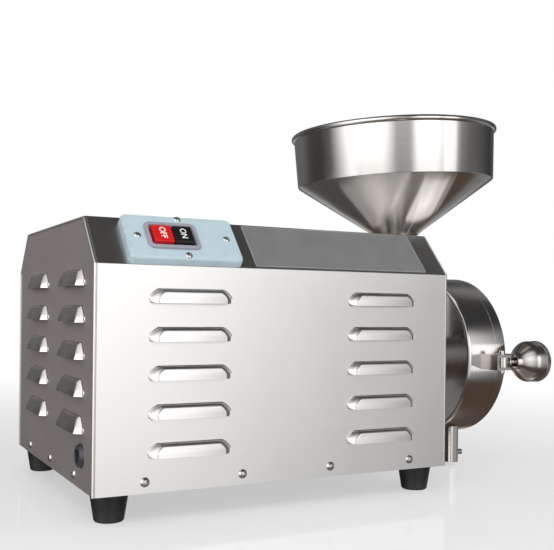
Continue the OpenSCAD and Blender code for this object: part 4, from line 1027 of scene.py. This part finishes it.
@dataclass
class Switch:
    """The switch on the slope: moulded plate, bezel, two lettered buttons and four screws."""

    plate_x: float = 90.0
    plate_w: float = 115.0
    plate_h: float = 59.0
    plate_t: float = 9.0
    plate_r: float = 6.0
    plate_edge: float = 3.4
    plate_draft: float = 0.6
    drop: float = 1.2
    window_x: float = 79.0
    window_w: float = 42.0
    window_h: float = 23.5
    window_gap: float = 4.0
    window_r: float = 1.0
    bezel_rim: float = 5.5
    bezel_r: float = 6.5
    bezel_least: float = 0.6
    bezel_up: float = 3.0
    button_w: float = 20.1
    button_h: float = 22.3
    button_r: float = 1.6
    button_least: float = 0.4
    button_up: float = 1.2
    button_step: float = 10.35
    letter: float = 8.6
    ink: float = 0.15
    bold: float = 0.12
    letter_up: float = 0.6
    letter_sunk: float = 0.1
    screw_inset: Point = (12.0, 5.2)

    @property
    def button_top(self) -> float:
        """The level of the buttons' tops above the slope."""
        return self.plate_t + self.bezel_up + self.button_up

    def build(self) -> None:
        """Builds and places the switch's pieces."""
        mid = AT.slope_length / 2 - self.drop
        plate = AT.slope @ shift(self.plate_x, mid)
        window = AT.slope @ shift(self.window_x, mid)
        piece("switch_cover_plate", self.cover(), PALE_BLUE, "machine", "switch_plate", "switch_plate",
              place=plate)
        piece("switch_bezel_frame", self.bezel(), LILAC, "machine", "switch_bezel", "switch_bezel",
              place=window)
        for node, side, finish, slot in (("off", -1, RED, "red_button"), ("on", 1, BLACK, "black_button")):
            spot = window @ shift(side * self.button_step, 0)
            piece(f"button_{node}_cap", self.button(), finish, f"{node}_button", slot, f"button_{node}",
                  place=spot, smooth=25)
            piece(f"button_{node}_letters", self.letters(node.upper()), WHITE_INK, f"{node}_button", None,
                  place=spot)
        heads = Screws(head=3.7, height=1.9, slot=0.8, slot_reach=2.1, slot_depth=1.3)
        across, up = self.plate_w / 2 - self.screw_inset[0], self.plate_h / 2 - self.screw_inset[1]
        upright = plate @ shift(0, -up, self.plate_t) @ turn(90, "Z")
        rows = joined(heads.row(2, 2 * across, plate @ shift(-across, 0, self.plate_t), 13),
                      heads.row(2, 2 * up, upright, 17))
        piece("switch_screw_heads", rows, ZINC, "machine", "fasteners", "switch_plate_screws")

    def cover(self) -> Mesh:
        """Returns the moulded plate with soft edges and the window."""
        aside, edge = self.window_x - self.plate_x, self.plate_edge
        loops = [rounded(self.plate_w, self.plate_h, self.plate_r, 0.0)]
        for a in QUARTER:
            inset = edge * (1 - math.cos(a))
            less = self.plate_draft + 2 * inset
            loops.append(rounded(self.plate_w - less, self.plate_h - less, self.plate_r - inset,
                                 self.plate_t - edge * (1 - math.sin(a))))
        loops += [rounded(self.window_w + self.window_gap, self.window_h + self.window_gap, self.window_r, z,
                          aside)
                  for z in (self.plate_t, 0.0)]
        return loft("switch_cover", loops, ring=True)

    def bezel(self) -> Mesh:
        """Returns the raised frame round the buttons, crowned outside and sloping inside."""
        base, top = self.plate_t, self.plate_t + self.bezel_up
        section = [(0.0, base - 0.5), (0.0, base + 1.2), (0.4, top - 0.9), (1.0, top - 0.3), (1.9, top),
                   (3.0, top - 0.1), (3.8, top - 0.6), (4.6, base + 0.8), (5.3, base - 2.0), (5.5, -1.4),
                   (2.9, -1.4), (2.9, base - 0.5)]
        return moulding("bezel", self.window_w + 2 * self.bezel_rim, self.window_h + 2 * self.bezel_rim,
                        self.bezel_r, self.bezel_least, section, ring=True)

    def button(self) -> Mesh:
        """Returns a button cap with rounded edges and a slightly hollow top."""
        top = self.button_top
        section = [(0.0, -7.0), (0.0, top - 2.2), (0.15, top - 1.1), (0.55, top - 0.35), (1.2, top),
                   (2.6, top), (6.0, top - 0.25)]
        return moulding("button", self.button_w, self.button_h, self.button_r, self.button_least, section,
                        caps=True)

    def letters(self, word: str) -> Mesh:
        """Returns a word as thin raised ink, read from top to bottom.

        Args:
            word: The word.
        """
        text = bpy.data.curves.new(word, "FONT")
        for key, value in (("body", word), ("size", self.letter), ("align_x", "CENTER"),
                           ("align_y", "CENTER"), ("extrude", self.ink), ("offset", self.bold)):
            setattr(text, key, value)
        place = shift(0, self.letter_up, self.button_top - self.letter_sunk)
        return moved(plain(put(word, text)), place @ turn(-90, "Z"))


@dataclass
class RatingPlate:
    """A thin pale line along the edge of the plate on the slope: a painted highlight on the plate's edge."""

    start: float = 163.0
    width: float = 208.0
    height: float = 57.0
    corner: float = 1.2
    thick: float = 0.6
    margin: float = 0.2
    line: float = 0.35
    sunk: float = 0.05
    proud: float = 0.04

    def build(self) -> None:
        """Builds and places the painted edge highlight."""
        place = AT.slope @ shift(self.start + self.width / 2, AT.slope_length / 2)
        low, high = self.thick - self.sunk, self.thick + self.proud
        outer, inner = self.margin, self.margin + self.line
        # A thin pale strip on the plate's top near its edge: painted highlight.
        border = moulding("border", self.width, self.height, self.corner, self.corner,
                          [(outer, low), (outer, high), (inner, high), (inner, low)], 3, ring=True)
        piece("rating_plate_border", border, PLATE_EDGE_HIGHLIGHT, "machine", None, place=place)


@dataclass
class Hopper:
    """The spun hopper: a short flared wall with a rolled rim over a wide cone."""

    rim_r: float = 128.4
    base_r: float = 125.5
    cone_top: float = 72.0
    rim_top: float = 138.0
    bead: float = 3.4
    sheet: float = 1.5
    neck_r: float = 25.0
    low_r: float = 34.0
    low_z: float = 10.0
    seat_z: float = 3.0

    def build(self) -> None:
        """Builds and places the hopper's pieces."""
        t, middle = self.sheet, self.rim_top - self.bead
        wall = [(self.base_r - t, self.cone_top), (self.base_r - 0.2, self.cone_top + 0.1),
                (self.base_r + 0.15, self.cone_top + 1.2), (self.rim_r, middle - self.bead),
                *arc(self.rim_r, middle, self.bead, -75, 195, 18), (self.rim_r - t, middle - self.bead)]
        funnel = [(self.neck_r - t, self.seat_z), (self.neck_r, self.seat_z),
                  (self.neck_r + 4, self.seat_z + 2.4), (self.low_r - 1, self.low_z - 0.7),
                  (self.low_r + 1, self.low_z + 0.75), (self.base_r - 0.9, self.cone_top - 0.75),
                  (self.base_r - 0.2, self.cone_top + 0.1), (self.base_r - t, self.cone_top),
                  (self.low_r - t, self.low_z + 0.8)]
        for name, profile, node in (("hopper_wall", wall, "hopper_bowl"),
                                    ("hopper_funnel", funnel, "hopper_cone")):
            piece(name, lathe(name, profile, ROUND_STEPS), SPUN, "hopper", "hopper_steel", node,
                  place=AT.hopper)


@dataclass
class Chamber:
    """The turned drum of the mill with soft edges, and its dished door."""

    radius: float = 101.5
    wall: float = 4.0
    back: float = 3.0
    hole: float = 31.0
    edge: float = 4.0
    door_edge: float = 3.0
    door_t: float = 4.0
    seal_groove: float = 2.6
    seam: float = 0.12
    axis_r: float = 0.01
    chute: tuple[float, float, float, float] = (218.7, 230.7, -44.0, 0.0)
    chute_cut: float = 30.0

    def build(self) -> None:
        """Builds and places the drum and the door."""
        r, e, d, s = self.radius, self.edge, self.door_edge, self.seam
        long, deep, inner = AT.seam - AT.drum_start, AT.door_face - AT.door_start, r - self.wall
        body = [(self.hole, 0.0), (r - e, 0.0), *arc(r - e, e, e, -75, 0), (r, long - s), (r - s, long),
                (inner, long), (inner, self.back), (self.hole, self.back)]
        x0, x1, y0, y1 = self.chute
        outlet = (r, (y0 + y1) / 2, (x0 + x1) / 2 - AT.drum_start), (self.chute_cut, y1 - y0, x1 - x0)
        piece("chamber_drum", cut(lathe("drum", body, ROUND_STEPS), outlet), TURNED, "machine", "mill_steel",
              "chamber_body", place=AT.along_x(AT.drum_start, 0, AT.shaft_height))
        floor, groove = deep - self.door_t, self.seal_groove
        door = [(self.axis_r, deep), (r - d, deep), *arc(r - d, deep - d, d, 75, 0), (r, s), (r - s, 0.0),
                (r - 1, 0.0), (r - 1, groove), (inner + 1, groove), (inner + 1, 0.0), (inner, 0.0),
                (inner, floor - 2), (inner - 2, floor), (self.axis_r, floor)]
        piece("chamber_door", lathe("door", door, ROUND_STEPS), TURNED, "door", "mill_steel", "door_dish",
              place=AT.along_x(AT.door_start, 0, AT.shaft_height))


@dataclass
class Clamp:
    """The clamp: a bell-shaped turned knob with a knurled rim on a threaded screw."""

    knob_r: float = 25.6
    knob_l: float = 40.7
    neck_r: float = 11.0
    neck_l: float = 0.8
    flare_l: float = 23.0
    screw_r: float = 3.4
    screw_start: float = 230.7
    screw_end: float = 264.3
    collar: Triple = (243.6, 246.6, 6.8)
    collar_edge: float = 0.6
    thread: float = 1.5
    thread_depth: float = 0.8
    knurl_l: float = 7.0
    groove: float = 0.9
    ribs: int = 110
    rib_r: float = 0.6
    rib_in: float = 0.65
    rib_short: float = 2.2
    rib_back: float = 0.8
    rim_in: float = 0.35

    def bell(self) -> list[Point]:
        """Returns the section of the knob: a bell flare, a plain band, a groove and the rim."""
        rim, end = self.knob_r - self.rim_in, self.knob_l
        flare = [(self.neck_r + (rim - self.neck_r) * t * t * (3 - 2 * t), self.neck_l + self.flare_l * t)
                 for t in (k / 16 for k in range(17))]
        band = end - self.knurl_l - 2 * self.groove
        return [(self.screw_r, 0.0), (self.neck_r - 0.6, 0.0), *flare, (rim, band),
                (rim - self.groove, band + 0.3), (rim - self.groove, band + 1.4), (rim, band + 1.8),
                (rim, end - 1.6), (rim - 0.5, end - 0.5), (rim - 1.6, end), (rim - 6.5, end),
                (rim - 7.0, end - 1.5), (self.screw_r, end - 1.5)]

    def build(self) -> None:
        """Builds and places the knob, its knurling and the screw."""
        place = AT.along_x(AT.knob_start, AT.clamp_y, AT.clamp_height)
        piece("clamp_knob_turned", lathe("knob", self.bell(), 128), KNOB_STEEL, "clamp", "mill_steel",
              "clamp_knob", place=place)
        rib = bmesh.new()
        bmesh.ops.create_cone(rib, cap_ends=True, segments=8, radius1=self.rib_r, radius2=self.rib_r,
                              depth=self.knurl_l - self.rib_short,
                              matrix=shift(0, 0, self.knob_l - self.knurl_l / 2 - self.rib_back))
        tree = repeater("repeat_round", {"Count": "Int", "Radius": "Float"}, circle_points)
        ribs = spread(to_mesh(rib, "rib"), tree, self.ribs, self.knob_r - self.rib_in, KNOB_STEEL.material())
        piece("clamp_knob_knurl", ribs, KNOB_STEEL, "clamp", "mill_steel", place=place)
        piece("clamp_screw_threaded", self.screw(), FITTING, "clamp", "mill_steel", "clamp_screw",
              place=AT.along_x(0.0, AT.clamp_y, AT.clamp_height))

    def screw(self, steps: int = 24, fine: int = 6) -> Mesh:
        """Returns the threaded screw with its collar, along Z.

        Args:
            steps: Steps round the screw.
            fine: Steps along each turn of the thread.
        """
        turns = int((self.screw_end - self.screw_start) / self.thread)
        loops = []
        for k in range(turns * fine + 1):
            loop = []
            for s in range(steps):
                phase = (k / fine - s / steps) % 1.0
                r = self.screw_r - self.thread_depth * abs(2 * phase - 1)
                a = math.tau * s / steps
                z = self.screw_start + k * self.thread / fine
                loop.append(Vector((r * math.cos(a), r * math.sin(a), z)))
            loops.append(loop)
        (z0, z1, r), e = self.collar, self.collar_edge
        collar = [(1.0, z0), (r - e, z0), (r, z0 + e), (r, z1 - e), (r - e, z1), (1.0, z1)]
        return joined(loft("thread", loops, caps=True), lathe("collar", collar, 64))


@dataclass(frozen=True)
class Card:
    """A flat glowing card that only some pieces mirror, in metres."""

    warmth: ClassVar[Triple] = (1.0, 0.985, 0.975)
    name: str
    corner: Triple
    wide: Triple
    high: Triple
    tone: float
    lit: tuple[str, ...]

    def mesh(self) -> Mesh:
        """Returns the card's shape."""
        first, across, up = Vector(self.corner), Vector(self.wide), Vector(self.high)
        work = bmesh.new()
        work.faces.new([work.verts.new(p) for p in (first, first + across, first + across + up, first + up)])
        return to_mesh(work, self.name, merge=False)

    def glow(self, tree: NodeTree) -> NodeSocket:
        """Returns the card's even tone."""
        tones = dict(enumerate(self.tone * c for c in self.warmth))
        return add(tree, "ShaderNodeCombineColor", tones).outputs[0]


@dataclass(frozen=True)
class Studio:
    """Floor, soft light, the surroundings that the steel mirrors, and the camera, in metres.

    Each ring lists bearings in degrees, from the back towards the mill end, with the tone there. Each
    span is a range of heights over which one cloth of the tent passes into the next.
    """

    camera_at: Triple = (-0.49883, -0.92620, 0.20091)
    heading: float = 0.4826
    roll: float = 0.0115
    focal_px: float = 860.6
    centre_drop_px: float = 33.18
    image_w: int = 554
    sensor_mm: float = 36.0
    clip_start: float = 0.01
    fill_light: float = 0.62
    floor_size: float = 12.0
    floor_tone: str = "#f3f3f3"
    floor_roughness: float = 0.09
    floor_specular: float = 0.35
    floor_middle: Triple = (-0.35, -0.25, 0.0)
    floor_fade: tuple[float, ...] = (0.35, 1.9, 0.5, 1.0)
    tent_r: float = 5.0
    cards: tuple[Card, ...] = (
        Card("bowl_card", (0.463, -0.863, 0.15), (0.21, 0.118, 0.0), (0.0, 0.0, 0.7), 0.85, ("hopper_wall",)),
        Card("drum_card", (0.42, -0.43, 0.0), (0.2, 0.0, 0.0), (0.0, 0.0, 0.26), 1.0,
             ("chamber_drum", "chamber_door")),
        *(Card(f"cone_card_{side}", (x, -0.12, 0.288), (w, 0.0, 0.0), (0.0, h, 0.0), tone, ("hopper_funnel",))
          for side, x, w, h, tone in (("left", 0.037, 0.083, 0.13, 0.28), ("right", 0.15, 0.065, 0.075, 0.9),
                                      ("edge", 0.215, 0.018, 0.075, 0.3))))
    lamps: tuple[tuple[str, Triple, float, float], ...] = (
        ("key", (-1.4, -2.0, 2.4), 2.2, 34.0), ("fill", (2.2, -1.2, 1.6), 2.0, 14.0),
        ("front", (-0.5, -2.4, 0.3), 1.4, 9.0))
    lamp_aim: Triple = (0.0, 0.0, 0.15)
    level_ring: tuple[Point, ...] = (
        (0, 0.12), (40, 0.12), (77, 0.035), (100, 0.08), (120, 0.13), (134, 0.26), (139, 0.6), (142, 0.64),
        (146, 0.7), (151, 0.86), (155, 1.02), (160, 1.35), (165, 1.66), (186, 1.66), (194, 0.52), (210, 0.5),
        (217, 1.1), (225, 1.7), (265, 1.65), (280, 0.62), (290, 0.12), (305, 0.05), (325, 0.06),
        (342, 0.125), (350, 0.13))
    side_ring: tuple[Point, ...] = (
        (7, 0.0), (19, 0.4), (52, 0.4), (66, 0.16), (84, 0.25), (108, 0.25), (122, 0.0))
    above_ring: tuple[Point, ...] = (
        (0, 0.08), (50, 0.08), (66, 0.26), (80, 0.2), (92, 0.07), (110, 0.05), (195, 0.045), (225, 1.2),
        (262, 1.7), (290, 0.75), (315, 0.18), (342, 0.14))
    # Painted reflection of the floor round the machine, lighter or darker by bearing.
    below_ring: tuple[Point, ...] = (
        (0, 0.4), (37, 0.6), (58, 1.0), (74, 1.1), (84, 0.6), (120, 0.12), (180, 0.3), (260, 0.25),
        (330, 0.22))
    level_gain: tuple[float, ...] = (-0.3, 0.5, 0.72, 1.66)
    side_span: Point = (0.0, -0.09)
    above_span: Point = (0.34, 0.6)
    zenith_span: Point = (0.74, 0.88)
    below_span: Point = (-0.3, -0.48)
    ground_span: Point = (-0.77, -0.87)
    below_tint: Triple = (1.0, 0.95, 0.91)
    zenith_tone: tuple[float, ...] = (0.055, 0.053, 0.052, 1.0)
    # Painted reflection of the shadowed floor straight under the machine.
    ground_tone: tuple[float, ...] = (0.1, 0.072, 0.054, 1.0)

    def build(self) -> None:
        """Builds everything that is not part of the machine."""
        self.light_world()
        self.floor()
        self.tent()
        self.hang_lamps()
        self.camera()
        bpy.context.scene.view_settings.view_transform = "Standard"

    def light_world(self) -> None:
        """Lights the scene evenly and shows white to the camera and to mirroring surfaces."""
        world = bpy.data.worlds.new("studio")
        world.use_nodes = True
        tree = world.node_tree
        tree.nodes.clear()
        rays = add(tree, "ShaderNodeLightPath").outputs
        seen = calc(tree, "MAXIMUM", rays["Is Camera Ray"], rays["Is Glossy Ray"])
        seen = calc(tree, "MAXIMUM", seen, rays["Is Transmission Ray"])
        fill, white = (add(tree, "ShaderNodeBackground", {"Color": linear("#ffffff"), "Strength": light})
                       for light in (self.fill_light, 1.0))
        mix = add(tree, "ShaderNodeMixShader", {0: seen, 1: fill.outputs[0], 2: white.outputs[0]})
        add(tree, "ShaderNodeOutputWorld", {"Surface": mix.outputs[0]})
        bpy.context.scene.world = world

    def floor(self) -> None:
        """Lays a pale, slightly glossy floor that fades to white far from the machine; near the machine it is
        half white glow, which paints light over its shadow.
        """
        work = bmesh.new()
        bmesh.ops.create_grid(work, x_segments=1, y_segments=1, size=self.floor_size)
        ground = put("floor", to_mesh(work, "floor", merge=False))
        look, tree = new_material("floor_pale_lacquer")
        shader = tree.nodes["Principled BSDF"]
        for key, value in (("Base Color", linear(self.floor_tone)), ("Roughness", self.floor_roughness),
                           ("Specular IOR Level", self.floor_specular)):
            shader.inputs[key].default_value = value
        rays = add(tree, "ShaderNodeLightPath").outputs
        where = add(tree, "ShaderNodeTexCoord").outputs["Object"]
        far = vector(tree, "LENGTH", {0: vector(tree, "SUBTRACT", {0: where, 1: self.floor_middle})})
        fade = remap(tree, far, *self.floor_fade, smooth=True)
        seen = calc(tree, "MULTIPLY", rays["Is Camera Ray"], fade)
        white = add(tree, "ShaderNodeEmission", {"Color": linear("#ffffff"), "Strength": 1.0})
        mix = add(tree, "ShaderNodeMixShader", {0: seen, 1: shader.outputs[0], 2: white.outputs[0]})
        tree.links.new(mix.outputs[0], tree.nodes["Material Output"].inputs["Surface"])
        ground.data.materials.append(look)
        # The floor is hidden from mirroring surfaces; the tent's lower part paints its reflection in its
        # place.
        ground.visible_glossy = False

    def cloth(self, name: str, mesh: Mesh, glow: Callable, lit: tuple[str, ...] = ()) -> None:
        """Hangs a glowing cloth that only mirroring surfaces show.

        Args:
            name: Name of the cloth.
            mesh: Its shape.
            glow: Takes the empty node tree and returns the socket of the cloth's tone.
            lit: The only pieces that a card lights; to all others it is clear.
        """
        cloth = put(name, mesh)
        look, tree = new_material(f"{name}_cloth")
        tree.nodes.clear()
        light = add(tree, "ShaderNodeEmission", {"Color": glow(tree)}).outputs[0]
        if lit:
            clear = add(tree, "ShaderNodeBsdfTransparent").outputs[0]
            light = add(tree, "ShaderNodeAddShader", {0: light, 1: clear}).outputs[0]
            group = bpy.data.collections.new(f"{name}_lit")
            for lit_piece in lit:
                group.objects.link(bpy.data.objects[lit_piece])
            cloth.light_linking.receiver_collection = group
        add(tree, "ShaderNodeOutputMaterial", {"Surface": light})
        mesh.materials.append(look)
        for ray in ("camera", "diffuse", "transmission", "volume_scatter", "shadow"):
            setattr(cloth, f"visible_{ray}", False)

    def ring(self, tree: NodeTree, bearing: NodeSocket, tones: tuple[Point, ...],
             tint: Triple = (1.0, 1.0, 1.0)) -> NodeSocket:
        """Returns the tone of a cloth all round the machine.

        Args:
            tree: The cloth's node tree.
            bearing: Bearing from 0 to 1, with the front at both ends.
            tones: Bearings in degrees, each with its tone.
            tint: Colour of the cloth.
        """
        ramp = add(tree, "ShaderNodeValToRGB", {0: bearing})
        marks = sorted((((degrees + 180) % 360) / 360, tone) for degrees, tone in tones)
        stops = ramp.color_ramp.elements
        while len(stops) < len(marks):
            stops.new(0.5)
        for stop, (place, tone) in zip(stops, marks):
            stop.position = place
            stop.color = (*(tone * c for c in tint), 1.0)
        return ramp.outputs[0]

    def surroundings(self, tree: NodeTree) -> NodeSocket:
        """Returns the tone of the light tent: soft boxes at eye level and dark cloth above; below, a painted
        reflection of the floor, with painted shade straight under the machine.

        Args:
            tree: The tent's node tree.
        """
        where = add(tree, "ShaderNodeTexCoord").outputs["Object"]
        place = parts_of(tree, where)
        bearing = remap(tree, calc(tree, "ARCTAN2", place["X"], place["Y"]), -math.pi, math.pi)
        up = parts_of(tree, vector(tree, "NORMALIZE", {0: where}))["Z"]
        level, side = (vector(tree, "SCALE", {0: self.ring(tree, bearing, tones), "Scale": gain})
                       for tones, gain in ((self.level_ring, remap(tree, up, *self.level_gain)),
                                           (self.side_ring, remap(tree, up, *self.side_span))))
        level = vector(tree, "ADD", {0: level, 1: side})
        above = blend(tree, remap(tree, up, *self.zenith_span, smooth=True),
                      self.ring(tree, bearing, self.above_ring), self.zenith_tone)
        below = blend(tree, remap(tree, up, *self.ground_span, smooth=True), self.ground_tone,
                      self.ring(tree, bearing, self.below_ring, self.below_tint))
        tone = blend(tree, remap(tree, up, *self.above_span, smooth=True), level, above)
        return blend(tree, remap(tree, up, *self.below_span, smooth=True), tone, below)

    def tent(self) -> None:
        """Hangs the light tent round everything and the cards beside the bowl, the drum and the cone."""
        work = bmesh.new()
        bmesh.ops.create_uvsphere(work, u_segments=64, v_segments=32, radius=self.tent_r)
        self.cloth("light_tent", to_mesh(work, "light_tent", merge=False), self.surroundings)
        for card in self.cards:
            self.cloth(card.name, card.mesh(), card.glow, card.lit)

    def hang_lamps(self) -> None:
        """Hangs three large soft lamps for the form and the shadows."""
        for name, place, size, power in self.lamps:
            light = bpy.data.lights.new(name, "AREA")
            light.size = size
            light.energy = power
            lamp = put(name, light)
            lamp.location = place
            lamp.rotation_euler = (Vector(self.lamp_aim) - Vector(place)).to_track_quat("-Z", "Y").to_euler()
            lamp.visible_glossy = False

    def camera(self) -> None:
        """Sets the camera at the photograph's viewing angle."""
        ahead = Vector((math.sin(self.heading), math.cos(self.heading), 0.0))
        right, up = Vector((ahead.y, -ahead.x, 0.0)), Vector((0.0, 0.0, 1.0))
        side = right * math.cos(self.roll) + up * math.sin(self.roll)
        top = up * math.cos(self.roll) - right * math.sin(self.roll)
        data = bpy.data.cameras.new("view")
        data.sensor_width = self.sensor_mm
        data.lens = self.focal_px / self.image_w * self.sensor_mm
        data.shift_y = self.centre_drop_px / self.image_w
        data.clip_start = self.clip_start
        eye = put("view", data)
        eye.matrix_world = shift(*self.camera_at) @ Matrix((side, top, -ahead)).transposed().to_4x4()
        bpy.context.scene.camera = eye


def dress_nodes() -> None:
    """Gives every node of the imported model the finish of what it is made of."""
    for finish, names in NODE_FINISH.items():
        for name in names:
            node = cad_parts[name]
            node.data.materials.clear()
            node.data.materials.append(finish.material())
    left = set(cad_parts) - {n for names in NODE_FINISH.values() for n in names}
    LOG.info("finished %d nodes, left %s", len(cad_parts), sorted(left))


def main() -> None:
    logging.basicConfig(level=logging.INFO, format="%(name)s: %(message)s")
    dress_nodes()
    for part in (Casing(), Switch(), RatingPlate(), Hopper(), Chamber(), Clamp()):
        part.build()
        LOG.info("built %s", type(part).__name__)
    Studio().build()


if __name__ == "__main__":
    main()
